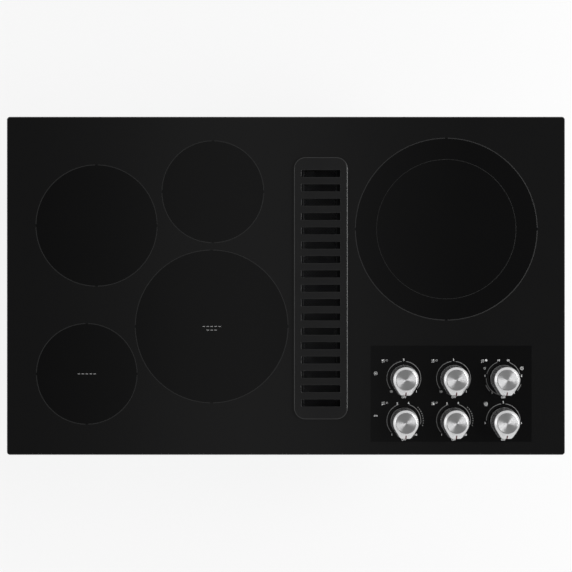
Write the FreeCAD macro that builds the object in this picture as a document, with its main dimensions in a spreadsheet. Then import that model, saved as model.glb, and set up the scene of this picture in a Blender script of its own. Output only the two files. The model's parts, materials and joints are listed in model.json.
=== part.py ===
import FreeCAD, Part
import math
import os

import Sketcher
from FreeCAD import Placement, Rotation, Vector

# A downdraft cooktop: a black glass top with five radiant zones, six knobs and a vent slot, over a
# steel burner box, a vent chamber and a blower. Millimetres, X to the right, Y to the back, Z up.
# The origin is the middle of the glass, in the plane of the worktop that the edge seal lies on.

SIZES = {
    # glass top and its foam edge seal
    "glass_thickness": 4.0,
    "glass_corner_radius": 5.0,
    "glass_bevel": 1.2,
    "glass_overhang_x": 34.5,
    "glass_overhang_y": 27.0,
    "seal_thickness": 1.5,
    "seal_width": 14.0,
    "seal_inset": 2.0,
    "seal_gap": 1.0,
    # burner box
    "sheet_thickness": 1.2,
    "box_height": 70.0,
    "box_corner_radius": 6.0,
    "box_left_gap": 9.5,
    "box_right_gap": 7.2,
    "box_rear_gap": 4.3,
    "box_front_gap": 3.3,
    # cooking zones: the diameter of each printed ring, the gaps between pans and their bearings
    "left_rear_ring": 200.0,
    "centre_rear_ring": 168.0,
    "left_front_ring": 166.0,
    "centre_front_ring": 252.0,
    "right_ring": 300.0,
    "right_inner_ring": 230.0,
    "pan_margin": 3.0,
    "rear_pan_gap": 9.8,
    "rear_pan_bearing": 16.2,
    "centre_pan_gap": 6.2,
    "centre_pan_bearing": 89.5,
    "front_pan_gap": 5.4,
    "front_pan_bearing": 20.8,
    "vent_left_gap": 5.8,
    "vent_right_gap": 8.8,
    "right_zone_offset": 160.5,
    # radiant elements
    "element_height": 32.0,
    "pan_wall": 1.0,
    "pan_rim_gap": 1.0,
    "insulation_clearance": 0.3,
    "insulation_base": 16.0,
    "insulation_wall": 9.0,
    "divider_height": 5.0,
    "ribbon_height": 4.0,
    "ribbon_thickness": 0.8,
    "ribbon_pitch": 11.0,
    "ribbon_wall_gap": 5.0,
    "ribbon_core_radius": 24.0,
    "ribbon_end_gap": 9.0,
    "limiter_rod_radius": 2.5,
    "limiter_drop": 5.5,
    "limiter_block_reach": 16.0,
    "limiter_block_width": 24.0,
    "limiter_block_height": 18.0,
    "limiter_block_gap": 0.2,
    "limiter_slot_clearance": 0.4,
    "limiter_rod_inset": 40.0,
    "strap_width": 30.0,
    "strap_inset": 20.0,
    "strap_foot": 12.0,
    # vent opening, lift-out grille and grease filter
    "vent_opening_width": 72.0,
    "vent_opening_depth": 415.0,
    "vent_opening_radius": 10.5,
    "vent_offset": 63.0,
    "grille_overlap": 8.5,
    "grille_height": 4.0,
    "grille_bar_thickness": 2.6,
    "grille_edge_radius": 2.2,
    "grille_lip_depth": 5.0,
    "grille_lip_wall": 1.6,
    "grille_lip_clearance": 1.0,
    "slot_width": 11.8,
    "slot_pitch": 23.6,
    "slot_end_space": 9.5,
    "slot_side_space": 1.4,
    "slot_corner_radius": 1.0,
    "slot_edge_radius": 0.6,
    "filter_clearance": 1.0,
    "filter_thickness": 9.0,
    "filter_frame_width": 8.0,
    "filter_core_thickness": 5.0,
    "filter_drop": 31.5,
    "filter_seat_overlap": 2.0,
    # vent chamber
    "chamber_clearance": 2.0,
    "chamber_flange": 6.0,
    "chamber_foot": 10.0,
    "chamber_floor_gap": 0.3,
    "chamber_sump": 66.0,
    # blower
    "blower_drop": 20.0,
    "blower_offset": 30.0,
    "wheel_radius": 75.0,
    "wheel_width": 70.0,
    "wheel_plate": 1.5,
    "wheel_side_gap": 17.0,
    "blade_depth": 14.0,
    "blade_thickness": 1.0,
    "hub_radius": 14.0,
    "hub_length": 22.0,
    "scroll_clearance": 15.0,
    "scroll_growth": 10.0,
    "tongue_radius": 10.0,
    "neck_length": 30.0,
    "inlet_radius": 62.0,
    "motor_radius": 50.0,
    "motor_length": 62.0,
    "motor_bell_length": 8.0,
    "motor_bell_inset": 12.0,
    "motor_boss_radius": 14.0,
    "motor_flange_radius": 62.0,
    "motor_flange_thickness": 3.0,
    "motor_hole_radius": 20.0,
    "motor_shaft_radius": 5.0,
    "motor_shaft_depth": 50.0,
    "motor_shaft_clearance": 0.1,
    "collar_radius": 76.0,
    "collar_gap": 4.0,
    "collar_length": 45.0,
    "collar_transition": 60.0,
    # controls
    "control_shift": 12.0,
    "control_gap": 68.0,
    "knob_pitch_x": 82.0,
    "knob_pitch_y": 70.0,
    "knob_radius": 21.0,
    "knob_height": 23.0,
    "knob_gap": 4.0,
    "knob_edge_radius": 3.2,
    "knob_wall": 3.0,
    "knob_roof": 5.0,
    "beak_reach": 26.0,
    "beak_half_width": 9.0,
    "beak_corner_radius": 4.0,
    "knob_hub_radius": 6.0,
    "knob_hub_recess": 1.0,
    "cap_radius": 16.4,
    "cap_thickness": 1.2,
    "cap_recess": 0.8,
    "cap_clearance": 0.3,
    "shaft_radius": 3.0,
    "shaft_flat": 1.2,
    "shaft_fit": 0.06,
    "shaft_guide_clearance": 0.1,
    "shaft_hole_radius": 6.5,
    "shaft_seal_clearance": 0.2,
    "shaft_seal_gap": 0.4,
    "shaft_seal_flange": 2.5,
    "shaft_seal_height": 1.0,
    "push_travel": 3.0,
    "bracket_drop": 9.5,
    "bracket_side_margin": 48.0,
    "bracket_edge_margin": 25.0,
    "bracket_shift": 8.0,
    "bracket_foot": 10.0,
    "bracket_hole_clearance": 0.3,
    "switch_length": 44.0,
    "switch_depth": 38.0,
    "switch_height": 31.0,
    "switch_roof": 7.0,
    "switch_clearance": 0.3,
    "bushing_radius": 4.7,
    "bushing_height": 6.0,
    "cam_radius": 11.0,
    "cam_height": 9.0,
    "shaft_tail": 4.0,
    "fan_control_radius": 17.0,
    "lamp_radius": 4.0,
    "lamp_offset_x": 46.5,
    "lamp_offset_y": 8.0,
    # terminal box, hold-downs and screws
    "terminal_x": -220.0,
    "terminal_inset": 22.0,
    "terminal_length": 110.0,
    "terminal_depth": 80.0,
    "terminal_height": 45.0,
    "terminal_ear": 14.0,
    "knockout_radius": 11.1,
    "hold_down_width": 30.0,
    "hold_down_leg": 40.0,
    "hold_down_reach": 34.0,
    "hold_down_sheet": 2.0,
    "hold_down_lift": 4.0,
    "clamp_screw_inset": 11.0,
    "clamp_screw_radius": 3.0,
    "clamp_screw_clearance": 0.1,
    "clamp_screw_below": 22.0,
    "clamp_screw_above": 22.0,
    "clamp_head_radius": 7.0,
    "clamp_head_height": 4.0,
    "clamp_pad_radius": 6.0,
    "clamp_pad_height": 3.0,
    "screw_radius": 2.0,
    "screw_length": 8.0,
    "screw_clearance": 0.1,
    "screw_head_radius": 3.8,
    "screw_head_height": 2.6,
    "screw_edge": 6.0,
}

BLADE_COUNT = 32
# how far round its turn a blade has come at half its depth
BLADE_HOOK = 0.3
SCREWS_PER_CHAMBER_SIDE = 3
# the direction, in degrees, in which each element's limiter block stands clear of its neighbours
LIMITER_BEARINGS = {
    "left_rear": 135.0,
    "centre_rear": 20.0,
    "left_front": 225.0,
    "centre_front": 315.0,
    "right": 225.0,
}
ZONES = tuple(LIMITER_BEARINGS)
# column and row of each knob, counted from the middle of the control panel
KNOB_PLACES = {
    "left_rear": (-1, 0.5),
    "centre_rear": (0, 0.5),
    "right": (1, 0.5),
    "left_front": (-1, -0.5),
    "centre_front": (0, -0.5),
    "fan": (1, -0.5),
}
ALONG_X = Rotation(Vector(0, 1, 0), 90)
ALONG_MINUS_X = Rotation(Vector(0, 1, 0), -90)

doc = FreeCAD.newDocument("DowndraftCooktop")
sheet = doc.addObject("Spreadsheet::Sheet", "Sizes")
subparts = {}
screws = []
screw_holes = {}
# how near two places must be to count as one
TOUCH = 1e-3


class Term:
    """A size worked out from the sheet: its number now, and the expression that keeps it current."""

    def __init__(self, value, text):
        self.value = float(value)
        self.text = text

    def __float__(self):
        return self.value

    def __add__(self, other):
        other = term(other)
        return Term(self.value + other.value, f"({self.text} + {other.text})")

    def __sub__(self, other):
        other = term(other)
        return Term(self.value - other.value, f"({self.text} - {other.text})")

    def __mul__(self, other):
        other = term(other)
        return Term(self.value * other.value, f"({self.text} * {other.text})")

    def __truediv__(self, other):
        other = term(other)
        return Term(self.value / other.value, f"({self.text} / {other.text})")

    def __radd__(self, other):
        return term(other) + self

    def __rsub__(self, other):
        return term(other) - self

    def __rmul__(self, other):
        return term(other) * self

    def __neg__(self):
        return Term(-self.value, f"(-1 * {self.text})")


def term(number):
    if isinstance(number, Term):
        return number
    return Term(number, repr(float(number)))


def greatest(*terms):
    return Term(max(t.value for t in terms), "max(" + "; ".join(t.text for t in terms) + ")")


def least(*terms):
    return Term(min(t.value for t in terms), "min(" + "; ".join(t.text for t in terms) + ")")


def whole(number):
    return Term(math.floor(number.value), f"floor({number.text})")


def cosine(angle):
    return Term(math.cos(math.radians(angle.value)), f"cos({angle.text})")


def sine(angle):
    return Term(math.sin(math.radians(angle.value)), f"sin({angle.text})")


class Cells:
    """The cells of the sheet, each as a term."""


s = Cells()
for row, (alias, number) in enumerate(SIZES.items(), start=1):
    sheet.set(f"A{row}", alias)
    sheet.set(f"B{row}", str(number))
    sheet.setAlias(f"B{row}", alias)
    setattr(s, alias, Term(number, f"Sizes.{alias}"))
doc.recompute()


# Binding, placing and combining

def bind(item, **properties):
    """Binds properties to terms; a double underscore in a name stands for a dot."""
    for name, size in properties.items():
        item.setExpression(name.replace("__", "."), term(size).text)


def place(item, x=0, y=0, z=0, turn=None):
    item.Placement = Placement(Vector(float(x), float(y), float(z)), turn or Rotation())
    bind(item, Placement__Base__x=x, Placement__Base__y=y, Placement__Base__z=z)
    return item


def point(name, x, y):
    """A layout point that other pieces take their place from."""
    item = doc.addObject("Part::Vertex", name)
    bind(item, X=x, Y=y)
    return Term(float(x), f"({name}.X / 1 mm)"), Term(float(y), f"({name}.Y / 1 mm)")


def cylinder(name, radius, height, x=0, y=0, z=0, turn=None):
    item = doc.addObject("Part::Cylinder", name)
    bind(item, Radius=radius, Height=height)
    return place(item, x, y, z, turn)


def block(name, length, depth, height, x=0, y=0, z=0):
    """A box whose bottom face is centred on x, y at the height z."""
    item = doc.addObject("Part::Box", name)
    bind(item, Length=length, Width=depth, Height=height)
    return place(item, x - length / 2, y - depth / 2, z)


def fuse(name, *pieces):
    item = doc.addObject("Part::MultiFuse", name)
    item.Shapes = list(pieces)
    return item


def cut(name, base, *tools):
    item = doc.addObject("Part::Cut", name)
    item.Base = base
    item.Tool = tools[0] if len(tools) == 1 else fuse(name + "_tools", *tools)
    return item


def group(name, pieces):
    item = doc.addObject("Part::Compound", name)
    item.Links = list(pieces)
    return item


def subpart(label, item):
    item.Label = label
    subparts[label] = item
    return item


def fasten(nodes, x, y, z, turn=None):
    """A screw whose head bears at x, y, z, with its hole through each of the nodes it holds."""
    name = f"screw_{len(screws) + 1}"
    shank = cylinder(name + "_shank", s.screw_radius, s.screw_length + s.screw_head_height,
                     z=-s.screw_head_height)
    head = cylinder(name + "_head", s.screw_head_radius, s.screw_head_height, z=-s.screw_head_height)
    screws.append(place(fuse(name, shank, head), x, y, z, turn))
    for node in nodes:
        hole = cylinder(f"{name}_hole_{node}", s.screw_radius + s.screw_clearance,
                        s.screw_length, x, y, z, turn)
        screw_holes.setdefault(node, []).append(hole)


def drilled(node, blank):
    return subpart(node, cut(node, blank, *screw_holes[node]))


# Sketches and solid features

def new_body(name, x=0, y=0, z=0, turn=None):
    return place(doc.addObject("PartDesign::Body", name), x, y, z, turn)


def new_sketch(body, name, plane="XY_Plane", x=0, y=0, lift=0):
    sketch = body.newObject("Sketcher::SketchObject", f"{body.Name}_{name}")
    support = next(f for f in body.Origin.OriginFeatures if f.Role == plane)
    sketch.AttachmentSupport = (support, [""])
    sketch.MapMode = "FlatFace"
    bind(sketch, AttachmentOffset__Base__x=x, AttachmentOffset__Base__y=y, AttachmentOffset__Base__z=lift)
    return sketch


def constrain(sketch, size, *parts):
    """Adds a dimension to the sketch and binds it to a term."""
    index = sketch.addConstraint(Sketcher.Constraint(*parts, float(size)))
    sketch.setExpression(f"Constraints[{index}]", term(size).text)


def circle(sketch, radius, x=0, y=0):
    centre = Vector(float(x), float(y), 0)
    edge = sketch.addGeometry(Part.Circle(centre, Vector(0, 0, 1), float(radius)), False)
    constrain(sketch, radius, "Radius", edge)
    constrain(sketch, x, "DistanceX", -1, 1, edge, 3)
    constrain(sketch, y, "DistanceY", -1, 1, edge, 3)


def polygon(sketch, corners):
    spots = [Vector(float(x), float(y), 0) for x, y in corners]
    edges = [sketch.addGeometry(Part.LineSegment(a, b), False)
             for a, b in zip(spots, spots[1:] + spots[:1])]
    for here, following in zip(edges, edges[1:] + edges[:1]):
        sketch.addConstraint(Sketcher.Constraint("Coincident", here, 2, following, 1))
    for edge, (x, y) in zip(edges, corners):
        constrain(sketch, x, "DistanceX", -1, 1, edge, 1)
        constrain(sketch, y, "DistanceY", -1, 1, edge, 1)


def rounded_rectangle(sketch, width, depth, radius):
    """A rectangle about the sketch's origin, its four corners rounded."""
    a, b, r = float(width) / 2, float(depth) / 2, float(radius)
    up = Vector(0, 0, 1)
    corners = ((a - r, r - b), (a - r, b - r), (r - a, b - r), (r - a, r - b))
    lines = (((r - a, -b), (a - r, -b)), ((a, r - b), (a, b - r)),
             ((a - r, b), (r - a, b)), ((-a, b - r), (-a, r - b)))
    sides, bends = [], []
    for turn, (line, centre) in enumerate(zip(lines, corners)):
        start, end = (Vector(*spot, 0) for spot in line)
        sides.append(sketch.addGeometry(Part.LineSegment(start, end), False))
        rim = Part.Circle(Vector(*centre, 0), up, r)
        begin = math.radians(90 * turn - 90)
        bends.append(sketch.addGeometry(Part.ArcOfCircle(rim, begin, begin + math.pi / 2), False))
    for turn in range(4):
        sketch.addConstraint(Sketcher.Constraint("Tangent", sides[turn], 2, bends[turn], 1))
        sketch.addConstraint(Sketcher.Constraint("Tangent", bends[turn], 2, sides[(turn + 1) % 4], 1))
        level = "Horizontal" if turn % 2 == 0 else "Vertical"
        sketch.addConstraint(Sketcher.Constraint(level, sides[turn]))
    for bend in bends[1:]:
        sketch.addConstraint(Sketcher.Constraint("Equal", bends[0], bend))
    sketch.addConstraint(Sketcher.Constraint("Symmetric", sides[0], 1, sides[2], 1, -1, 1))
    constrain(sketch, radius, "Radius", bends[0])
    constrain(sketch, width, "DistanceX", sides[3], 1, sides[1], 1)
    constrain(sketch, depth, "DistanceY", sides[0], 1, sides[2], 1)


def pad(body, sketch, length, symmetric=False):
    feature = body.newObject("PartDesign::Pad", sketch.Name + "_pad")
    feature.Profile = sketch
    bind(feature, Length=length)
    if symmetric:
        feature.SideType = "Symmetric"
    sketch.Visibility = False
    return feature


def pocket(body, sketch, depth, upward=False):
    feature = body.newObject("PartDesign::Pocket", sketch.Name + "_pocket")
    feature.Profile = sketch
    feature.Reversed = upward
    bind(feature, Length=depth)
    return feature


def dress(body, kind, size_name, size, wanted):
    """Fillets or chamfers the edges of the body's last feature for which wanted(edge) is true."""
    doc.recompute()
    base = body.Tip
    names = [f"Edge{i}" for i, edge in enumerate(base.Shape.Edges, start=1) if wanted(edge)]
    feature = body.newObject(f"PartDesign::{kind}", f"{body.Name}_{kind.lower()}_{len(body.Group)}")
    feature.Base = (base, names)
    bind(feature, **{size_name: size})
    return feature


def lies_at(edge, height):
    box = edge.BoundBox
    return max(abs(box.ZMin - float(height)), abs(box.ZMax - float(height))) < TOUCH


def hat(body, span, height, depth, foot, thickness):
    """A bent strip: a top between two legs that end in outward feet, on the body's own origin."""
    side = span / 2
    sketch = new_sketch(body, "profile", "XZ_Plane")
    polygon(sketch, [(-side - foot, 0), (thickness - side, 0), (thickness - side, height - thickness),
                     (side - thickness, height - thickness), (side - thickness, 0), (side + foot, 0),
                     (side + foot, thickness), (side, thickness), (side, height),
                     (-side, height), (-side, thickness), (-side - foot, thickness)])
    return pad(body, sketch, depth, symmetric=True)


# Heights, from the worktop plane at zero

glass_bottom = s.seal_thickness
glass_top = glass_bottom + s.glass_thickness
box_bottom = glass_bottom - s.box_height
floor_top = box_bottom + s.sheet_thickness
filter_seat = glass_bottom - s.filter_drop
pan_bottom = glass_bottom - s.element_height
dish_bottom = pan_bottom + s.pan_wall
base_top = dish_bottom + s.insulation_base
limiter_level = glass_bottom - s.limiter_drop
knob_bottom = glass_top + s.knob_gap
bracket_top = glass_bottom - s.bracket_drop
switch_top = bracket_top - s.sheet_thickness
cam_bottom = switch_top - s.switch_roof - s.switch_clearance - s.cam_height
shaft_end = cam_bottom - s.shaft_tail
scroll_radius = s.wheel_radius + s.scroll_clearance
blower_z = box_bottom - s.blower_drop - scroll_radius - s.sheet_thickness
chamber_bottom = blower_z - s.inlet_radius - s.chamber_sump

# Plan of the zones: each pan stands a named gap from its neighbour, and the box goes round them all

pan_radius = {zone: getattr(s, f"{zone}_ring") / 2 + s.pan_margin for zone in ZONES}
chamber_half = s.vent_opening_width / 2 + s.chamber_clearance + s.sheet_thickness
front_reach = pan_radius["centre_front"] + pan_radius["left_front"] + s.front_pan_gap
middle_reach = pan_radius["centre_front"] + pan_radius["centre_rear"] + s.centre_pan_gap
rear_reach = pan_radius["centre_rear"] + pan_radius["left_rear"] + s.rear_pan_gap
from_centre_front = {
    "centre_front": (term(0), term(0)),
    "left_front": (-front_reach * cosine(s.front_pan_bearing), -front_reach * sine(s.front_pan_bearing)),
    "centre_rear": (middle_reach * cosine(s.centre_pan_bearing), middle_reach * sine(s.centre_pan_bearing)),
}
from_centre_front["left_rear"] = (
    from_centre_front["centre_rear"][0] - rear_reach * cosine(s.rear_pan_bearing),
    from_centre_front["centre_rear"][1] - rear_reach * sine(s.rear_pan_bearing))
vent_reach = pan_radius["centre_front"] + s.vent_left_gap + s.chamber_flange + chamber_half
from_centre_front["right"] = (
    vent_reach + chamber_half + s.chamber_flange + s.vent_right_gap + pan_radius["right"],
    s.right_zone_offset)
bracket_depth = s.knob_pitch_y + 2 * s.bracket_edge_margin
control_reach = pan_radius["right"] + s.control_gap + bracket_depth / 2 - s.right_zone_offset

left_side = least(*(from_centre_front[z][0] - pan_radius[z] for z in ("left_rear", "left_front")))
right_side = from_centre_front["right"][0] + pan_radius["right"]
rear_side = greatest(*(from_centre_front[z][1] + pan_radius[z] for z in ("centre_rear", "right")))
front_side = -control_reach - bracket_depth / 2
box_left = left_side - s.box_left_gap
box_right = right_side + s.box_right_gap
box_rear = rear_side + s.box_rear_gap
box_front = front_side - s.box_front_gap
plan = doc.addObject("Part::Plane", "box_plan")
bind(plan, Length=box_right - box_left, Width=box_rear - box_front)
box_inner_x = Term(float(box_right - box_left), "(box_plan.Length / 1 mm)")
box_inner_y = Term(float(box_rear - box_front), "(box_plan.Width / 1 mm)")
box_outer_x = box_inner_x + 2 * s.sheet_thickness
box_outer_y = box_inner_y + 2 * s.sheet_thickness
glass_width = box_outer_x + 2 * s.glass_overhang_x
glass_depth = box_outer_y + 2 * s.glass_overhang_y

middle_x, middle_y = point("centre_front_point", -(box_left + box_right) / 2, -(box_front + box_rear) / 2)
spot = {zone: point(f"{zone}_zone_point", middle_x + dx, middle_y + dy)
        for zone, (dx, dy) in from_centre_front.items()}
vent_x, vent_y = point("vent_point", middle_x + vent_reach, middle_y + s.vent_offset)
control_x, control_y = point("control_point", spot["right"][0] + s.control_shift, middle_y - control_reach)
chamber_outer_x = 2 * chamber_half
chamber_outer_y = s.vent_opening_depth + 2 * s.chamber_clearance + 2 * s.sheet_thickness
chamber_radius = s.vent_opening_radius + s.chamber_clearance + s.sheet_thickness
filter_x = s.vent_opening_width - 2 * s.filter_clearance
filter_y = s.vent_opening_depth - 2 * s.filter_clearance
filter_radius = s.vent_opening_radius - s.filter_clearance
blower_x = vent_x + chamber_half
blower_y = vent_y - s.blower_offset
scroll_width = s.wheel_width + 2 * s.wheel_side_gap + 2 * s.sheet_thickness
wheel_x = blower_x + s.sheet_thickness + s.wheel_side_gap
motor_x = blower_x + scroll_width
outlet_reach = scroll_radius + s.tongue_radius + s.neck_length
neck_bottom = blower_z - scroll_radius - 3 * s.scroll_growth - s.sheet_thickness
neck_height = scroll_radius + 3 * s.scroll_growth - s.tongue_radius + 2 * s.sheet_thickness
knob_spot = {name: (control_x + column * s.knob_pitch_x, control_y + line * s.knob_pitch_y)
             for name, (column, line) in KNOB_PLACES.items()}


# Glass, seal, box and vent

def along_rim(edge, width, depth):
    """True for an edge on the outside of a centred sheet of this size, not round an opening in it."""
    box = edge.BoundBox
    past_x = max(-box.XMin, box.XMax) - float(width) / 2
    past_y = max(-box.YMin, box.YMax) - float(depth) / 2
    return max(past_x, past_y) > -TOUCH


def make_glass():
    body = new_body("glass_top", z=glass_bottom)
    outline = new_sketch(body, "outline")
    rounded_rectangle(outline, glass_width, glass_depth, s.glass_corner_radius)
    pad(body, outline, s.glass_thickness)
    opening = new_sketch(body, "opening", x=vent_x, y=vent_y, lift=s.glass_thickness)
    rounded_rectangle(opening, s.vent_opening_width, s.vent_opening_depth, s.vent_opening_radius)
    pocket(body, opening, s.glass_thickness)
    holes = new_sketch(body, "holes", lift=s.glass_thickness)
    for x, y in knob_spot.values():
        circle(holes, s.shaft_hole_radius, x, y)
    pocket(body, holes, s.glass_thickness)
    dress(body, "Chamfer", "Size", s.glass_bevel,
          lambda edge: lies_at(edge, s.glass_thickness) and along_rim(edge, glass_width, glass_depth))
    subpart("glass_top", body)


def make_edge_seal():
    """Four butted foam strips under the edge of the glass."""
    length = glass_width - 2 * s.seal_inset
    side_length = glass_depth - 2 * s.seal_inset - 2 * s.seal_width
    x = length / 2 - s.seal_width / 2
    y = glass_depth / 2 - s.seal_inset - s.seal_width / 2
    strips = []
    for name, sign in (("front", -1), ("rear", 1)):
        strips.append(block(f"seal_{name}", length, s.seal_width, s.seal_thickness, 0, sign * y))
    for name, sign in (("left", -1), ("right", 1)):
        strips.append(block(f"seal_{name}", s.seal_width, side_length, s.seal_thickness, sign * x, 0))
    subpart("edge_seal", group("edge_seal", strips))


def make_burner_box():
    """A folded tray with a flange under the glass and a hole in its floor for the vent chamber."""
    flange = s.glass_overhang_y - s.seal_inset - s.seal_width - s.seal_gap
    body = new_body("burner_box_blank", z=box_bottom)
    shell = new_sketch(body, "shell")
    rounded_rectangle(shell, box_outer_x, box_outer_y, s.box_corner_radius)
    pad(body, shell, s.box_height)
    inside = new_sketch(body, "inside", lift=s.sheet_thickness)
    rounded_rectangle(inside, box_inner_x, box_inner_y, s.box_corner_radius - s.sheet_thickness)
    pocket(body, inside, s.box_height, upward=True)
    rim = new_sketch(body, "flange", lift=s.box_height - s.sheet_thickness)
    rounded_rectangle(rim, box_outer_x + 2 * flange, box_outer_y + 2 * flange, s.box_corner_radius + flange)
    rounded_rectangle(rim, box_outer_x, box_outer_y, s.box_corner_radius)
    pad(body, rim, s.sheet_thickness)
    opening = new_sketch(body, "opening", x=vent_x, y=vent_y, lift=s.sheet_thickness)
    rounded_rectangle(opening, chamber_outer_x + 2 * s.chamber_floor_gap,
                      chamber_outer_y + 2 * s.chamber_floor_gap, chamber_radius + s.chamber_floor_gap)
    pocket(body, opening, s.sheet_thickness)
    drilled("burner_box", body)


def make_vent_chamber():
    """A deep sheet-steel duct: flange under the glass, foot on the box floor, ledge for the filter."""
    height = glass_bottom - chamber_bottom
    inner_x = chamber_outer_x - 2 * s.sheet_thickness
    inner_y = chamber_outer_y - 2 * s.sheet_thickness
    inner_radius = chamber_radius - s.sheet_thickness
    body = new_body("vent_chamber_blank", vent_x, vent_y, chamber_bottom)
    shell = new_sketch(body, "shell")
    rounded_rectangle(shell, chamber_outer_x, chamber_outer_y, chamber_radius)
    pad(body, shell, height)
    inside = new_sketch(body, "inside", lift=s.sheet_thickness)
    rounded_rectangle(inside, inner_x, inner_y, inner_radius)
    pocket(body, inside, height, upward=True)
    for name, width, level in (("flange", s.chamber_flange, height - s.sheet_thickness),
                               ("foot", s.chamber_foot, floor_top - chamber_bottom)):
        ring = new_sketch(body, name, lift=level)
        rounded_rectangle(ring, chamber_outer_x + 2 * width, chamber_outer_y + 2 * width,
                          chamber_radius + width)
        rounded_rectangle(ring, chamber_outer_x, chamber_outer_y, chamber_radius)
        pad(body, ring, s.sheet_thickness)
    ledge = new_sketch(body, "ledge", lift=filter_seat - s.sheet_thickness - chamber_bottom)
    rounded_rectangle(ledge, inner_x, inner_y, inner_radius)
    rounded_rectangle(ledge, filter_x - 2 * s.filter_seat_overlap, filter_y - 2 * s.filter_seat_overlap,
                      filter_radius - s.filter_seat_overlap)
    pad(body, ledge, s.sheet_thickness)
    inlet = new_sketch(body, "inlet", "YZ_Plane", lift=chamber_half)
    circle(inlet, s.inlet_radius, blower_y - vent_y, blower_z - chamber_bottom)
    pocket(body, inlet, 2 * s.sheet_thickness)
    drilled("vent_chamber", body)


def make_vent_grille():
    """A slotted cover that rests on the glass and is kept in place by a lip in the opening."""
    lip_x = s.vent_opening_width - 2 * s.grille_lip_clearance
    lip_y = s.vent_opening_depth - 2 * s.grille_lip_clearance
    lip_radius = s.vent_opening_radius - s.grille_lip_clearance
    inner_x = lip_x - 2 * s.grille_lip_wall
    inner_y = lip_y - 2 * s.grille_lip_wall
    inner_radius = lip_radius - s.grille_lip_wall
    body = new_body("vent_grille", vent_x, vent_y, glass_top)
    cover = new_sketch(body, "cover")
    rounded_rectangle(cover, s.vent_opening_width + 2 * s.grille_overlap,
                      s.vent_opening_depth + 2 * s.grille_overlap, s.vent_opening_radius + s.grille_overlap)
    pad(body, cover, s.grille_height)
    dress(body, "Fillet", "Radius", s.grille_edge_radius, lambda edge: lies_at(edge, s.grille_height))
    recess = new_sketch(body, "recess")
    rounded_rectangle(recess, inner_x, inner_y, inner_radius)
    pocket(body, recess, s.grille_height - s.grille_bar_thickness, upward=True)
    lip = new_sketch(body, "lip", lift=-s.grille_lip_depth)
    rounded_rectangle(lip, lip_x, lip_y, lip_radius)
    rounded_rectangle(lip, inner_x, inner_y, inner_radius)
    pad(body, lip, s.grille_lip_depth)
    slot_length = inner_x - 2 * s.slot_side_space
    steps = whole((inner_y - 2 * s.slot_end_space - s.slot_width) / s.slot_pitch)
    slot = new_sketch(body, "slot", y=-steps * s.slot_pitch / 2, lift=s.grille_height)
    rounded_rectangle(slot, slot_length, s.slot_width, s.slot_corner_radius)
    first = pocket(body, slot, s.grille_height)
    slots = body.newObject("PartDesign::LinearPattern", "vent_grille_slots")
    slots.Originals = [first]
    slots.Direction = (slot, ["V_Axis"])
    bind(slots, Length=steps * s.slot_pitch, Occurrences=steps + 1)
    body.Tip = slots

    def round_a_slot(edge):
        return lies_at(edge, s.grille_height) and max(-edge.BoundBox.XMin, edge.BoundBox.XMax) < (
            float(slot_length) / 2 + TOUCH)

    dress(body, "Fillet", "Radius", s.slot_edge_radius, round_a_slot)
    subpart("vent_grille", body)


def make_grease_filter():
    """A frame round a mesh pack, lying on the ledge in the vent chamber."""
    inner_x = filter_x - 2 * s.filter_frame_width
    inner_y = filter_y - 2 * s.filter_frame_width
    inner_radius = s.filter_frame_width / 2
    frame = new_body("filter_frame", vent_x, vent_y, filter_seat)
    ring = new_sketch(frame, "ring")
    rounded_rectangle(ring, filter_x, filter_y, filter_radius)
    rounded_rectangle(ring, inner_x, inner_y, inner_radius)
    pad(frame, ring, s.filter_thickness)
    pack = new_body("filter_pack", vent_x, vent_y,
                    filter_seat + (s.filter_thickness - s.filter_core_thickness) / 2)
    sheet_pack = new_sketch(pack, "mesh")
    rounded_rectangle(sheet_pack, inner_x, inner_y, inner_radius)
    pad(pack, sheet_pack, s.filter_core_thickness)
    subpart("grease_filter", group("grease_filter", [frame, pack]))


# Radiant elements

def ribbon_path(inner, outer):
    """Arcs (centre, radius, start and end angle) of one strip that winds out from ring to ring."""
    pitch = float(s.ribbon_pitch)
    tracks = int((outer - inner) // pitch) + 1
    arcs = []
    angle = math.asin(float(s.ribbon_end_gap) / inner)
    for track in range(tracks):
        radius = inner + track * pitch
        onward = track % 2 == 0
        middle = radius + pitch / 2
        turn = math.asin(float(s.ribbon_end_gap) / middle)
        end = 2 * math.pi - turn if onward else turn
        arcs.append((Vector(), radius, angle, end))
        if track < tracks - 1:
            bend = Vector(middle * math.cos(end), middle * math.sin(end), 0)
            arcs.append((bend, pitch / 2, end + math.pi, end if onward else end + 2 * math.pi))
        angle = end
    return arcs


def arc_edge(centre, radius, start, end):
    spots = [centre + Vector(radius * math.cos(a), radius * math.sin(a), 0)
             for a in (start, (start + end) / 2, end)]
    return Part.Arc(*spots).toShape()


def bridge(a, b, end):
    """The straight edge between two edges, from start to start (0) or from end to end (1)."""
    return Part.makeLine(a.valueAt(a.ParameterRange[end]), b.valueAt(b.ParameterRange[end]))


def ribbon_solid(inner, outer):
    """The strip along that path, standing on edge."""
    half = float(s.ribbon_thickness) / 2
    left, right = [], []
    for centre, radius, start, end in ribbon_path(inner, outer):
        side = -half if end > start else half
        left.append(arc_edge(centre, radius + side, start, end))
        right.append(arc_edge(centre, radius - side, start, end))
    start_cap = bridge(left[0], right[0], 0)
    end_cap = bridge(left[-1], right[-1], 1)
    outline = Part.Wire(Part.__sortEdges__(left + [end_cap] + right[::-1] + [start_cap]))
    return Part.Face(outline).extrude(Vector(0, 0, float(s.ribbon_height)))


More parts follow.
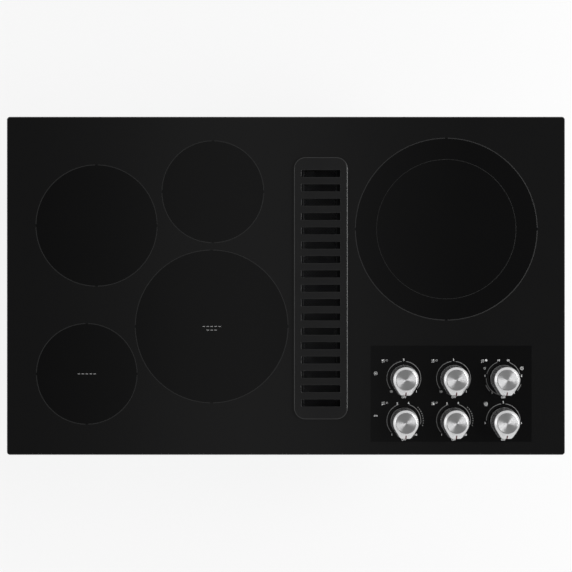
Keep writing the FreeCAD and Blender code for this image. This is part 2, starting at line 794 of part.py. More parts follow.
def make_element(zone):
    """Pan, insulation dish, ribbon winding and limiter of one zone."""
    x, y = spot[zone]
    turn = Rotation(Vector(0, 0, 1), LIMITER_BEARINGS[zone])
    radius = pan_radius[zone]
    dish_radius = radius - s.pan_wall - s.insulation_clearance
    well_radius = dish_radius - s.insulation_wall
    rim = radius - well_radius

    slot = block(f"{zone}_limiter_slot", rim + 2 * s.pan_wall,
                 2 * s.limiter_rod_radius + 2 * s.limiter_slot_clearance,
                 s.limiter_drop + 2 * s.limiter_rod_radius, radius - rim / 2, 0,
                 limiter_level - s.limiter_rod_radius - s.limiter_slot_clearance)
    pan = cut(f"element_pan_{zone}",
              cylinder(f"{zone}_pan_shell", radius, s.element_height - s.pan_rim_gap, z=pan_bottom),
              cylinder(f"{zone}_pan_inside", radius - s.pan_wall, s.element_height, z=dish_bottom), slot)
    subpart(f"element_pan_{zone}", place(pan, x, y, 0, turn))

    dish = cut(f"{zone}_dish",
               cylinder(f"{zone}_dish_blank", dish_radius, glass_bottom - dish_bottom, z=dish_bottom),
               cylinder(f"{zone}_dish_well", well_radius, s.element_height, z=base_top), slot)
    wells = [(float(s.ribbon_core_radius), float(well_radius - s.ribbon_wall_gap))]
    if zone == "right":
        divider = s.right_inner_ring / 2
        ring = cut("divider_ring",
                   cylinder("divider_outside", divider + s.insulation_wall / 2, s.divider_height, z=base_top),
                   cylinder("divider_inside", divider - s.insulation_wall / 2, s.divider_height, z=base_top))
        dish = fuse("right_dish_with_divider", dish, ring)
        gap = s.insulation_wall / 2 + s.ribbon_wall_gap
        wells = [(wells[0][0], float(divider - gap)), (float(divider + gap), wells[0][1])]
    subpart(f"element_insulation_{zone}", place(dish, x, y, 0, turn))

    ribbon = doc.addObject("Part::Feature", f"element_ribbon_{zone}")
    ribbon.Shape = Part.makeCompound([ribbon_solid(*well) for well in wells])
    subpart(f"element_ribbon_{zone}", place(ribbon, x, y, base_top, turn))

    rod_start = s.limiter_rod_inset - well_radius
    block_start = radius + s.limiter_block_gap
    block_middle = block_start + s.limiter_block_reach / 2
    rod = cylinder(f"{zone}_limiter_rod", s.limiter_rod_radius, block_middle - rod_start,
                   rod_start, 0, limiter_level, ALONG_X)
    body = block(f"{zone}_limiter_block", s.limiter_block_reach, s.limiter_block_width,
                 s.limiter_block_height, block_middle, 0,
                 glass_bottom - s.pan_rim_gap - s.limiter_block_height)
    return place(fuse(f"limiter_{zone}", rod, body), x, y, 0, turn)


def make_strap(zone):
    """A bent strap on the box floor that carries the pan of one zone."""
    x, y = spot[zone]
    span = 2 * pan_radius[zone] - 2 * s.strap_inset
    body = new_body(f"strap_{zone}_blank", x, y, floor_top)
    hat(body, span, pan_bottom - floor_top, s.strap_width, s.strap_foot, s.sheet_thickness)
    for side in (-1, 1):
        fasten((f"strap_{zone}", "burner_box"), x + side * (span + s.strap_foot) / 2, y, box_bottom)
    return cut(f"strap_{zone}", body, *screw_holes[f"strap_{zone}"])


def make_elements():
    subpart("heat_limiters", group("heat_limiters", [make_element(zone) for zone in ZONES]))
    subpart("element_straps", group("element_straps", [make_strap(zone) for zone in ZONES]))


# Controls

def d_rod(name, play, length, z):
    """A round bar with a flat along it, larger all round by the play."""
    radius = s.shaft_radius + play
    flat = s.shaft_radius - s.shaft_flat + play
    return cut(name, cylinder(name + "_round", radius, length, z=z),
               block(name + "_flat", radius, 3 * radius, length, flat + radius / 2, 0, z))


def knob_outline(sketch):
    """A round body whose sides run tangent into a narrower pointer with rounded corners."""
    radius, corner = float(s.knob_radius), float(s.beak_corner_radius)
    u = s.beak_half_width - s.beak_corner_radius
    v = s.beak_corner_radius - s.beak_reach
    across, down = float(u), float(v)
    lean = math.atan2(down, across) + math.acos((radius - corner) / math.hypot(across, down))

    def arc(x, y, size, start, end):
        rim = Part.Circle(Vector(x, y, 0), Vector(0, 0, 1), size)
        return sketch.addGeometry(Part.ArcOfCircle(rim, start, end), False)

    def line(a, b):
        return sketch.addGeometry(Part.LineSegment(Vector(*a, 0), Vector(*b, 0)), False)

    normal = (math.cos(lean), math.sin(lean))
    on_body = (radius * normal[0], radius * normal[1])
    on_corner = (across + corner * normal[0], down + corner * normal[1])
    foot = down - corner
    edges = [arc(0, 0, radius, lean, math.pi - lean),
             line((-on_body[0], on_body[1]), (-on_corner[0], on_corner[1])),
             arc(-across, down, corner, math.pi - lean, 1.5 * math.pi),
             line((-across, foot), (across, foot)),
             arc(across, down, corner, -0.5 * math.pi, lean),
             line(on_corner, on_body)]
    for here, following in zip(edges, edges[1:] + edges[:1]):
        sketch.addConstraint(Sketcher.Constraint("Tangent", here, 2, following, 1))
    sketch.addConstraint(Sketcher.Constraint("Coincident", edges[0], 3, -1, 1))
    sketch.addConstraint(Sketcher.Constraint("Equal", edges[2], edges[4]))
    sketch.addConstraint(Sketcher.Constraint("Symmetric", edges[2], 3, edges[4], 3, -2))
    constrain(sketch, s.knob_radius, "Radius", edges[0])
    constrain(sketch, s.beak_corner_radius, "Radius", edges[4])
    constrain(sketch, u, "DistanceX", -1, 1, edges[4], 3)
    constrain(sketch, v, "DistanceY", -1, 1, edges[4], 3)


def make_knob(name):
    """A hollow knob with a hub for its shaft, and the metal disc set into its top."""
    x, y = knob_spot[name]
    body = new_body(f"knob_{name}_blank")
    outline = new_sketch(body, "outline")
    knob_outline(outline)
    pad(body, outline, s.knob_height)
    dress(body, "Fillet", "Radius", s.knob_edge_radius, lambda edge: lies_at(edge, s.knob_height))
    seat = new_sketch(body, "seat", lift=s.knob_height)
    circle(seat, s.cap_radius + s.cap_clearance)
    pocket(body, seat, s.cap_recess)
    hollow = new_sketch(body, "hollow")
    circle(hollow, s.knob_radius - s.knob_wall)
    circle(hollow, s.knob_hub_radius)
    pocket(body, hollow, s.knob_height - s.knob_roof, upward=True)
    mouth = new_sketch(body, "mouth")
    circle(mouth, s.knob_radius - s.knob_wall)
    pocket(body, mouth, s.knob_hub_recess, upward=True)
    bore = d_rod(f"knob_{name}_bore", s.shaft_fit, s.knob_height - s.knob_roof, term(0))
    subpart(f"knob_{name}", place(cut(f"knob_{name}", body, bore), x, y, knob_bottom))

    cap = new_body(f"knob_cap_{name}", x, y, knob_bottom + s.knob_height - s.cap_recess)
    disc = new_sketch(cap, "disc")
    circle(disc, s.cap_radius)
    pad(cap, disc, s.cap_thickness)
    dress(cap, "Chamfer", "Size", s.cap_clearance, lambda edge: lies_at(edge, s.cap_thickness))
    subpart(f"knob_cap_{name}", cap)


def make_shaft(name):
    x, y = knob_spot[name]
    top = knob_bottom + s.knob_height - s.knob_roof
    shaft = d_rod(f"shaft_{name}", term(0), top - shaft_end, shaft_end)
    subpart(f"shaft_{name}", place(shaft, x, y, 0))


def make_cam(name):
    """The disc in a heater switch that turns with the shaft and lets it slide through."""
    x, y = knob_spot[name]
    cam = cut(f"cam_{name}", cylinder(f"cam_{name}_disc", s.cam_radius, s.cam_height, z=cam_bottom),
              d_rod(f"cam_{name}_bore", s.shaft_fit, s.cam_height, cam_bottom))
    subpart(f"cam_{name}", place(cam, x, y, 0))


def bushing(name):
    """The threaded neck of a switch, through the bracket."""
    return cylinder(f"{name}_bushing", s.bushing_radius, s.bushing_height + s.switch_roof,
                    z=switch_top - s.switch_roof)


def guide_bore(name, bottom):
    return cylinder(f"{name}_guide", s.shaft_radius + s.shaft_guide_clearance,
                    switch_top + s.bushing_height - bottom, z=bottom)


def make_switch(name):
    """A heater switch: a moulded case with a round well for its cam and a bore for the shaft."""
    x, y = knob_spot[name]
    case = fuse(f"{name}_case", bushing(name), block(f"{name}_case_block", s.switch_length, s.switch_depth,
                                                     s.switch_height, 0, 0, switch_top - s.switch_height))
    well = cylinder(f"{name}_well", s.cam_radius + s.switch_clearance, s.cam_height + 2 * s.switch_clearance,
                    z=cam_bottom - s.switch_clearance)
    bore = guide_bore(name, shaft_end - s.push_travel - s.switch_clearance)
    return place(cut(f"switch_{name}", case, well, bore), x, y, 0)


def make_controls():
    heaters = [name for name in KNOB_PLACES if name != "fan"]
    for name in KNOB_PLACES:
        make_knob(name)
        make_shaft(name)
    for name in heaters:
        make_cam(name)
    subpart("infinite_switches", group("infinite_switches", [make_switch(name) for name in heaters]))
    fan_x, fan_y = knob_spot["fan"]
    fan_can = cylinder("fan_can", s.fan_control_radius, s.switch_height, z=switch_top - s.switch_height)
    fan_control = cut("fan_speed_control", fuse("fan_case", bushing("fan"), fan_can),
                      guide_bore("fan", shaft_end - s.switch_clearance))
    subpart("fan_speed_control", place(fan_control, fan_x, fan_y, 0))
    make_shaft_seals()
    make_switch_bracket()
    lamps = []
    for row in (-0.5, 0.5):
        lamps.append(cylinder(f"lamp_{len(lamps) + 1}", s.lamp_radius, s.bracket_drop,
                              control_x - s.knob_pitch_x - s.lamp_offset_x,
                              control_y + row * s.knob_pitch_y + s.lamp_offset_y, bracket_top))
    subpart("indicator_lamps", group("indicator_lamps", lamps))


def make_shaft_seals():
    """A rubber grommet round each shaft, in its hole in the glass."""
    seals = []
    for name, (x, y) in knob_spot.items():
        sleeve = cylinder(f"{name}_sleeve", s.shaft_hole_radius - s.shaft_seal_clearance, s.glass_thickness,
                          z=glass_bottom)
        collar = cylinder(f"{name}_collar", s.shaft_hole_radius + s.shaft_seal_flange, s.shaft_seal_height,
                          z=glass_top)
        bore = cylinder(f"{name}_seal_bore", s.shaft_radius + s.shaft_seal_gap,
                        s.glass_thickness + s.shaft_seal_height, z=glass_bottom)
        seal = cut(f"shaft_seal_{name}", fuse(f"{name}_seal_blank", sleeve, collar), bore)
        seals.append(place(seal, x, y, 0))
    subpart("shaft_seals", group("shaft_seals", seals))


def make_switch_bracket():
    """A bent plate over the box floor that the switches hang from."""
    span = 2 * s.knob_pitch_x + 2 * s.bracket_side_margin
    height = bracket_top - floor_top
    x = control_x - s.bracket_shift
    body = new_body("switch_bracket_blank", x, control_y, floor_top)
    hat(body, span, height, bracket_depth, s.bracket_foot, s.sheet_thickness)
    holes = new_sketch(body, "holes", lift=height)
    for knob_x, knob_y in knob_spot.values():
        circle(holes, s.bushing_radius + s.bracket_hole_clearance, knob_x - x, knob_y - control_y)
    pocket(body, holes, s.sheet_thickness)
    for side in (-1, 1):
        for end in (-1, 1):
            fasten(("switch_bracket", "burner_box"), x + side * (span + s.bracket_foot) / 2,
                   control_y + end * (bracket_depth / 2 - 2 * s.screw_edge), box_bottom)
    drilled("switch_bracket", body)


# Blower

def blower_wire(grow, outlet):
    """The scroll's outline, grown outward, as arcs that widen by a step each quarter turn, and a neck."""
    radius, step, tongue = float(scroll_radius), float(s.scroll_growth), float(s.tongue_radius)
    floor = -(radius + 3 * step) - grow
    roof = grow - tongue

    def arc(y, z, size, start, end):
        angles = (math.radians(a) for a in (start, (start + end) / 2, end))
        spots = [Vector(0, y + size * math.cos(a), z + size * math.sin(a)) for a in angles]
        return Part.Arc(*spots).toShape()

    def line(a, b):
        return Part.makeLine(Vector(0, *a), Vector(0, *b))

    return Part.Wire([
        line((outlet, roof), (radius + tongue, roof)),
        arc(radius + tongue, 0, tongue - grow, 270, 180),
        arc(0, 0, radius + grow, 0, 90),
        arc(0, -step, radius + step + grow, 90, 180),
        arc(step, -step, radius + 2 * step + grow, 180, 270),
        line((step, floor), (outlet, floor)),
        line((outlet, floor), (outlet, roof))])


def make_blower_housing():
    """A sheet-steel scroll with an inlet on the chamber's side and a hole for the motor on the other."""
    wall = float(s.sheet_thickness)
    width = float(scroll_width)
    shell = Part.Face(blower_wire(wall, float(outlet_reach))).extrude(Vector(width, 0, 0))
    inside = Part.Face(blower_wire(0, float(outlet_reach) + wall)).extrude(Vector(width - 2 * wall, 0, 0))
    inside.translate(Vector(wall, 0, 0))
    inlet = Part.makeCylinder(float(s.inlet_radius), 2 * wall, Vector(-wall / 2, 0, 0), Vector(1, 0, 0))
    motor_hole = Part.makeCylinder(float(s.motor_hole_radius), 2 * wall, Vector(width - 1.5 * wall, 0, 0),
                                   Vector(1, 0, 0))
    blank = doc.addObject("Part::Feature", "blower_housing_blank")
    blank.Shape = shell.cut([inside, inlet, motor_hole])
    place(blank, blower_x, blower_y, blower_z)
    reach = (s.inlet_radius + 1.5 * s.screw_edge) * math.sqrt(0.5)
    motor_reach = (s.motor_radius + s.motor_flange_radius) / 2 * math.sqrt(0.5)
    for side in (-1, 1):
        for end in (-1, 1):
            fasten(("blower_housing", "vent_chamber"), blower_x - s.sheet_thickness,
                   blower_y + side * reach, blower_z + end * reach, ALONG_X)
            fasten(("blower_housing", "blower_motor"), motor_x + s.motor_flange_thickness,
                   blower_y + side * motor_reach, blower_z + end * motor_reach, ALONG_MINUS_X)
    drilled("blower_housing", blank)


def make_blower_wheel():
    """A back plate with a hub, and a ring of forward-curved blades tied by a rim at the inlet."""
    outer, width, plate = float(s.wheel_radius), float(s.wheel_width), float(s.wheel_plate)
    inner = outer - float(s.blade_depth)
    hub_length = float(s.hub_length)
    spread = math.radians(180 / BLADE_COUNT)
    thickness = float(s.blade_thickness) / outer

    def blade_arc(turn):
        polar = ((inner, turn), ((inner + outer) / 2, turn + BLADE_HOOK * spread),
                 (outer - plate / 2, turn + spread))
        return Part.Arc(*(Vector(r * math.cos(a), r * math.sin(a), 0) for r, a in polar)).toShape()

    leading, trailing = blade_arc(0), blade_arc(thickness)
    ends = [bridge(leading, trailing, end) for end in (0, 1)]
    blade = Part.Face(Part.Wire(Part.__sortEdges__([leading, ends[1], trailing, ends[0]])))
    blade = blade.extrude(Vector(0, 0, width))
    blades = []
    for number in range(BLADE_COUNT):
        copy = blade.copy()
        copy.rotate(Vector(), Vector(0, 0, 1), 360 / BLADE_COUNT * number)
        blades.append(copy)
    rim = Part.makeCylinder(outer, 2 * plate).cut(Part.makeCylinder(inner, 2 * plate))
    back = Part.makeCylinder(outer, plate, Vector(0, 0, width - plate))
    hub = Part.makeCylinder(float(s.hub_radius), hub_length, Vector(0, 0, width - hub_length))
    bore = Part.makeCylinder(float(s.motor_shaft_radius), width)
    wheel = doc.addObject("Part::Feature", "blower_wheel")
    wheel.Shape = back.fuse([hub, rim] + blades).cut(bore)
    subpart("blower_wheel", place(wheel, wheel_x, blower_y, blower_z, ALONG_X))


def on_blower_axis(name, radius, length, x):
    return cylinder(name, radius, length, x, blower_y, blower_z, ALONG_X)


def make_blower_motor():
    """A flanged can with a tapered end bell, and the shaft that carries the wheel."""
    can_x = motor_x + s.motor_flange_thickness
    bell_x = can_x + s.motor_length
    bell = doc.addObject("Part::Cone", "motor_bell")
    bind(bell, Radius1=s.motor_radius, Radius2=s.motor_radius - s.motor_bell_inset,
         Height=s.motor_bell_length)
    place(bell, bell_x, blower_y, blower_z, ALONG_X)
    flange = on_blower_axis("motor_flange", s.motor_flange_radius, s.motor_flange_thickness, motor_x)
    can = on_blower_axis("motor_can", s.motor_radius, s.motor_length, can_x)
    boss = on_blower_axis("motor_boss", s.motor_boss_radius, 2 * s.motor_bell_length, bell_x)
    bore = on_blower_axis("motor_bore", s.motor_shaft_radius + s.motor_shaft_clearance,
                          s.motor_shaft_depth + s.motor_shaft_clearance, motor_x)
    drilled("blower_motor", cut("motor_bored", fuse("motor_case", flange, can, bell, boss), bore))
    shaft_x = wheel_x + s.wheel_width - s.hub_length
    shaft_length = motor_x + s.motor_shaft_depth - shaft_x
    subpart("motor_shaft", on_blower_axis("motor_shaft", s.motor_shaft_radius, shaft_length, shaft_x))


def collar_solid(inset, extra):
    """A rectangle run into a circle and on as a round tube, drawn in by the inset all round.

    The circle stands clear of the vent chamber beside it and is level with the bottom of the neck.
    """
    width, height = float(scroll_width), float(neck_height)
    length, radius = float(s.collar_transition), float(s.collar_radius) - inset

    def corner(x, z):
        return Vector(inset if x == 0 else width - inset, 0, inset if z == 0 else height - inset)

    centre = Vector(float(s.collar_radius + s.collar_gap), length, float(s.collar_radius))
    corners = [corner(*c) for c in ((1, 1), (0, 1), (0, 0), (1, 0))]
    mouth = Part.Wire([Part.makeLine(a, b) for a, b in zip(corners, corners[1:] + corners[:1])])
    arcs = []
    for quarter in range(4):
        angles = [math.radians(45 + 90 * quarter + step) for step in (0, 45, 90)]
        arcs.append(Part.Arc(*(centre + Vector(radius * math.cos(a), 0, radius * math.sin(a))
                               for a in angles)).toShape())
    hood = Part.makeLoft([mouth, Part.Wire(arcs)], True, True)
    tube = Part.makeCylinder(radius, float(s.collar_length) + extra, centre, Vector(0, 1, 0))
    return hood.fuse(tube)


def make_outlet_collar():
    """The transition from the blower's square neck to a round duct."""
    collar = doc.addObject("Part::Feature", "outlet_collar")
    wall = float(s.sheet_thickness)
    collar.Shape = collar_solid(0, 0).cut(collar_solid(wall, wall)).removeSplitter()
    subpart("outlet_collar", place(collar, blower_x, blower_y + outlet_reach, neck_bottom))


# Terminal box, hold-downs and screws

def make_terminal_box():
    """A small wiring box under the burner box, with ears for its screws and a conduit knock-out."""
    y = box_inner_y / 2 - s.terminal_inset - s.terminal_depth / 2
    corner = 2 * s.sheet_thickness
    body = new_body("terminal_box_blank", s.terminal_x, y, box_bottom - s.terminal_height)
    shell = new_sketch(body, "shell")
    rounded_rectangle(shell, s.terminal_length, s.terminal_depth, corner)
    pad(body, shell, s.terminal_height)
    inside = new_sketch(body, "inside", lift=s.sheet_thickness)
    rounded_rectangle(inside, s.terminal_length - 2 * s.sheet_thickness,
                      s.terminal_depth - 2 * s.sheet_thickness, corner - s.sheet_thickness)
    pocket(body, inside, s.terminal_height, upward=True)
    ears = new_sketch(body, "ears", lift=s.terminal_height - s.sheet_thickness)
    near, far = s.terminal_length / 2, s.terminal_length / 2 + s.terminal_ear
    half = s.terminal_depth / 2 - corner
    for side in (-1, 1):
        polygon(ears, [(side * near, -half), (side * far, -half), (side * far, half), (side * near, half)])
        for end in (-1, 1):
            fasten(("terminal_box", "burner_box"), s.terminal_x + side * (near + far) / 2,
                   y + end * (half - 2 * s.screw_edge), box_bottom - s.sheet_thickness)
    pad(body, ears, s.sheet_thickness)
    knockout = new_sketch(body, "knockout", "XZ_Plane", lift=s.sheet_thickness - s.terminal_depth / 2)
    circle(knockout, s.knockout_radius, 0, s.terminal_height / 2)
    pocket(body, knockout, 2 * s.sheet_thickness)
    drilled("terminal_box", body)


def make_hold_downs():
    """An angle bracket and a clamp screw on each side, to pull the cooktop down on the worktop."""
    brackets, clamps = [], []
    level = box_bottom + s.hold_down_lift
    for name, side in (("left", -1), ("right", 1)):
        node = f"hold_down_{name}"
        wall_x = side * box_outer_x / 2
        body = new_body(node + "_blank", wall_x, 0, level, Rotation(Vector(0, 0, 1), 0 if side > 0 else 180))
        profile = new_sketch(body, "profile", "XZ_Plane")
        polygon(profile, [(0, 0), (s.hold_down_reach, 0), (s.hold_down_reach, s.hold_down_sheet),
                          (s.hold_down_sheet, s.hold_down_sheet), (s.hold_down_sheet, s.hold_down_leg),
                          (0, s.hold_down_leg)])
        pad(body, profile, s.hold_down_width, symmetric=True)
        thread = new_sketch(body, "thread", lift=s.hold_down_sheet)
        circle(thread, s.clamp_screw_radius + s.clamp_screw_clearance,
               s.hold_down_reach - s.clamp_screw_inset)
        pocket(body, thread, s.hold_down_sheet)
        for end in (-1, 1):
            fasten((node, "burner_box"), wall_x + side * s.hold_down_sheet,
                   end * (s.hold_down_width / 2 - s.screw_edge), level + s.hold_down_leg - 2 * s.screw_edge,
                   ALONG_MINUS_X if side > 0 else ALONG_X)
        brackets.append(cut(node, body, *screw_holes[node]))
        x = wall_x + side * (s.hold_down_reach - s.clamp_screw_inset)
        foot = level - s.clamp_screw_below
        tip = level + s.hold_down_sheet + s.clamp_screw_above
        rod = cylinder(f"clamp_{name}_rod", s.clamp_screw_radius, tip - foot, x, 0, foot)
        head = cylinder(f"clamp_{name}_head", s.clamp_head_radius, s.clamp_head_height, x, 0, foot)
        tip_pad = cylinder(f"clamp_{name}_pad", s.clamp_pad_radius, s.clamp_pad_height, x, 0, tip)
        clamps.append(fuse(f"clamp_{name}", rod, head, tip_pad))
    subpart("hold_down_brackets", group("hold_down_brackets", brackets))
    subpart("clamp_screws", group("clamp_screws", clamps))


def screw_chamber_foot():
    """Screws up through the box floor into the foot of the vent chamber."""
    gap = (chamber_outer_y - 4 * s.chamber_foot) / (SCREWS_PER_CHAMBER_SIDE - 1)
    for side in (-1, 1):
        for number in range(SCREWS_PER_CHAMBER_SIDE):
            offset = (number - (SCREWS_PER_CHAMBER_SIDE - 1) / 2) * gap
            fasten(("vent_chamber", "burner_box"), vent_x + side * (chamber_half + s.chamber_foot / 2),
                   vent_y + offset, box_bottom)


def check_document():
    """Stops with the names of any objects that failed, before a file is written."""
    broken = [item.Name for item in doc.Objects if {"Invalid", "Error"} & set(item.State)]
    for label, item in subparts.items():
        if item.Shape.isNull() or not item.Shape.isValid() or not item.Shape.Solids:
            broken.append(label)
    if broken:
        raise RuntimeError("failed: " + ", ".join(broken))


make_glass()
make_edge_seal()
make_vent_grille()
make_grease_filter()
make_elements()
make_controls()
screw_chamber_foot()
make_blower_housing()
make_blower_wheel()
make_blower_motor()
make_outlet_collar()
make_terminal_box()
make_hold_downs()
make_vent_chamber()
make_burner_box()
subpart("chassis_screws", group("chassis_screws", screws))
doc.recompute()
check_document()
os.makedirs("parts", exist_ok=True)
for label, item in subparts.items():
    item.Shape.exportStep(f"parts/{label}.step")
    print(label, len(item.Shape.Solids), round(item.Shape.Volume))
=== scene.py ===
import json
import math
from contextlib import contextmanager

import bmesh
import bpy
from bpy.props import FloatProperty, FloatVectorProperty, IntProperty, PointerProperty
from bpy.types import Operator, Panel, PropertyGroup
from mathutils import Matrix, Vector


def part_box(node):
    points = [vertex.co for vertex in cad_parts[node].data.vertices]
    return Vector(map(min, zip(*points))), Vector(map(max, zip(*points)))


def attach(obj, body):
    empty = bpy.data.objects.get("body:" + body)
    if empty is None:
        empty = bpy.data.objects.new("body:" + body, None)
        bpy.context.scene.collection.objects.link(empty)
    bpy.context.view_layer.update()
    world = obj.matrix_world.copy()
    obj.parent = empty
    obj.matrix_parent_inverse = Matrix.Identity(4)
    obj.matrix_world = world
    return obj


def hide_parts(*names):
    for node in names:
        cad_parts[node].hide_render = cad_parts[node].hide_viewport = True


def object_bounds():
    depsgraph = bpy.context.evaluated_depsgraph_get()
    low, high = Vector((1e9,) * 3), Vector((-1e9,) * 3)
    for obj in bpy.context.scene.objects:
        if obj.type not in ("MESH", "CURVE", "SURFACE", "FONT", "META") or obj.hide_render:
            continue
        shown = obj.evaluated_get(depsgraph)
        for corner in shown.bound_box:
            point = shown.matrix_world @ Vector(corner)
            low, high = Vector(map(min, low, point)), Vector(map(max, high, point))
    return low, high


bl_info = {
    "name": "Downdraft Cooktop",
    "version": (1, 0, 0),
    "blender": (4, 5, 0),
    "location": "3D View > Sidebar > Cooktop",
    "description": "Finishes, printed marks, knobs and fittings of a downdraft cooktop, round its solids",
    "category": "Object",
}

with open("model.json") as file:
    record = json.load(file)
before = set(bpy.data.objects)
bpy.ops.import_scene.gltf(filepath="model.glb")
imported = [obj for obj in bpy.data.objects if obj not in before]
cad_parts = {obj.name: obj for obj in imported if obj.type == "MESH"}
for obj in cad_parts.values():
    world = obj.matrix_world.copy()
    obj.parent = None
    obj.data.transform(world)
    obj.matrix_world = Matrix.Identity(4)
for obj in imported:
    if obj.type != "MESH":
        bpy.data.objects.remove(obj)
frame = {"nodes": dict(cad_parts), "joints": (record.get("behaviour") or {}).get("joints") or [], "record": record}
cad_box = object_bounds()

MM = 0.001
TURN = 2 * math.pi
QUARTER = math.pi / 2
RIGHT, REAR, UP = (Vector(way) for way in ((1, 0, 0), (0, 1, 0), (0, 0, 1)))
ORIGIN = (0, 0, 0)
LYING = (0, QUARTER, 0)     # turns a cylinder's axis to the right
OVERCUT = 1 * MM            # how far a cutter reaches past the face that it cuts
MERGE = 0.001 * MM          # vertices closer than this are made one
ZONES = ("left_rear", "centre_rear", "left_front", "centre_front", "right")
HEATERS = ("left_rear", "centre_rear", "right", "left_front", "centre_front")


# Places taken from the solids

def extent(node):
    """The middle and half the size of a solid."""
    low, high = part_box(node)
    return (low + high) / 2, (high - low) / 2


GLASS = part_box("glass_top")[1].z
KNOB_LOW, KNOB_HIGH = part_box("knob_left_rear")
KNOB_HEIGHT = KNOB_HIGH.z - KNOB_LOW.z
KNOB_RADIUS = extent("knob_left_rear")[1].x
DIALS = {joint["name"].removeprefix("turn_"): Vector((*joint["pos_m"][:2], GLASS))
         for joint in frame["joints"] if joint["name"].startswith("turn_")}
BEAK_REACH = DIALS["left_rear"].y - KNOB_LOW.y
CAP_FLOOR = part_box("knob_cap_left_rear")[0].z
CAP_RADIUS = extent("knob_cap_left_rear")[1].x
SHAFT_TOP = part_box("shaft_left_rear")[1].z
SHAFT_RADIUS = extent("shaft_left_rear")[1].y


def zone_circle(zone):
    """The middle of a zone on the glass, and the radius of its pan."""
    centre, half = extent(f"element_pan_{zone}")
    return Vector((*centre.xy, GLASS)), half.x


def heading(angle):
    """A level direction, anticlockwise from the right."""
    return Vector((math.cos(angle), math.sin(angle), 0))


def clock(hour):
    """The angle, anticlockwise from the right, of an hour on a dial."""
    return math.radians(90 - 30 * hour)


# Settings

def length(label, words, millimetres):
    return FloatProperty(name=label, description=words, default=millimetres * MM, unit="LENGTH", precision=5)


def number(label, words, default, **kind):
    return FloatProperty(name=label, description=words, default=default, **kind)


def colour(label, words, *default):
    return FloatVectorProperty(name=label, description=words, default=default, size=3, subtype="COLOR",
                               min=0, max=1)


class MarkSettings(PropertyGroup):
    """Printed marks on the glass"""
    ink: length("Ink Height", "How far the fired ink stands off the glass", 0.05)
    pan_margin: length("Pan Margin", "How far each printed ring lies inside the edge of its pan", 3)
    ring_width: length("Ring Width", "Width of the ring round each zone", 1.3)
    ring_gap: length("Ring Gap", "Gap at each quarter of a ring", 4.5)
    inner_ring: length("Inner Ring", "Radius of the inner ring of the dual zone", 115)
    inner_width: length("Inner Ring Width", "Width of the inner ring of the dual zone", 0.6)
    dial_radius: length("Dial Radius", "Radius of the arc round each knob", 28)
    dial_width: length("Dial Width", "Width of the arc round each knob", 0.9)
    numeral: length("Numeral", "Size of the dial's numbers", 4.8)
    number_space: length("Number Space", "How far the numbers stand outside the arc", 2.4)
    plan_scale: number("Plan Scale", "Scale of the small plans of the zones", 0.0125)


class KnobSettings(PropertyGroup):
    """Shape of the knobs"""
    taper: length("Taper", "How much wider the wall is at its bottom than at its top", 0.6)
    flare: number("Flare", "How much wider the foot is than the wall", 1.055)
    foot: length("Foot", "Height of the flared foot", 2.2)
    beak_corner: length("Beak Corner", "Radius of the pointer's corners", 5.5)
    beak_half: length("Beak Half Width", "Half the width of the pointer", 10.8)
    crown: length("Crown", "Drop of the sloping ring round the disc", 3.4)
    beak_drop: length("Beak Drop", "Drop of the pointer's tip below the top", 5.6)
    edge: length("Edge", "Radius of the edges", 0.9)
    wall: length("Wall", "Thickness of the side wall", 3)
    seat_clearance: length("Seat Clearance", "Gap round the disc in the top", 0.3)
    bore_clearance: length("Bore Clearance", "Gap round the shaft", 0.06)
    hub: length("Hub", "Radius of the hub round the shaft", 6)
    hub_recess: length("Hub Recess", "How far the hub stops short of the foot", 1)
    index_start: length("Index Start", "How far the index line starts outside the disc", 3.6)
    index_width: length("Index Width", "Width of the index line", 1.95)
    index_proud: length("Index Height", "How far the index line stands off the knob", 0.12)
    facets: IntProperty(name="Facets", description="Sides of the round body", default=128, min=24, max=256)


class FittingSettings(PropertyGroup):
    """Sizes of the filter, seal, motor, screws and pressings"""
    filter_frame: length("Filter Frame", "Width of the filter's frame", 8)
    filter_corner: length("Filter Corner", "Radius of the frame's corners", 9.5)
    mesh_cell: length("Mesh Cell", "Size of the filter's openings", 6)
    mesh_wire: length("Mesh Wire", "Thickness of the filter's strands", 0.8)
    seal_width: length("Seal Width", "Width of the foam under the glass", 14)
    motor_can: length("Motor Can", "Radius of the motor's can", 50)
    motor_flange: length("Motor Flange", "Thickness of the motor's flange", 3)
    motor_bell: length("Motor Bell", "Depth of the bell, and of the boss on it", 8)
    motor_boss: length("Motor Boss", "Radius of the boss at the end", 14)
    bolt_circle: length("Bolt Circle", "Radius of the circle of bolts in the bell", 26)
    sheet_lip: length("Sheet Lip", "How far the lips of box and chamber stand out of their walls", 10)
    bead_width: length("Bead Width", "Width of the beads pressed in the chamber", 12)
    bead_height: length("Bead Height", "Height of the beads", 2.4)
    louvre_length: length("Louvre Length", "Length of each louvre", 38)
    louvre_height: length("Louvre Height", "Height of each louvre", 8)
    louvre_depth: length("Louvre Depth", "How far a louvre stands out", 4)
    weld: length("Weld", "Radius of a spot weld", 3)
    thread_pitch: length("Thread Pitch", "Pitch of the clamp screws", 1.5)
    thread_core: length("Thread Core", "Radius at the foot of the thread", 2.5)
    thread_crest: length("Thread Crest", "Radius at the crest of the thread", 3)
    screw_head: length("Screw Head", "Radius of a screw's washer", 3.8)
    screw_shank: length("Screw Shank", "Length of a screw below its head", 8)


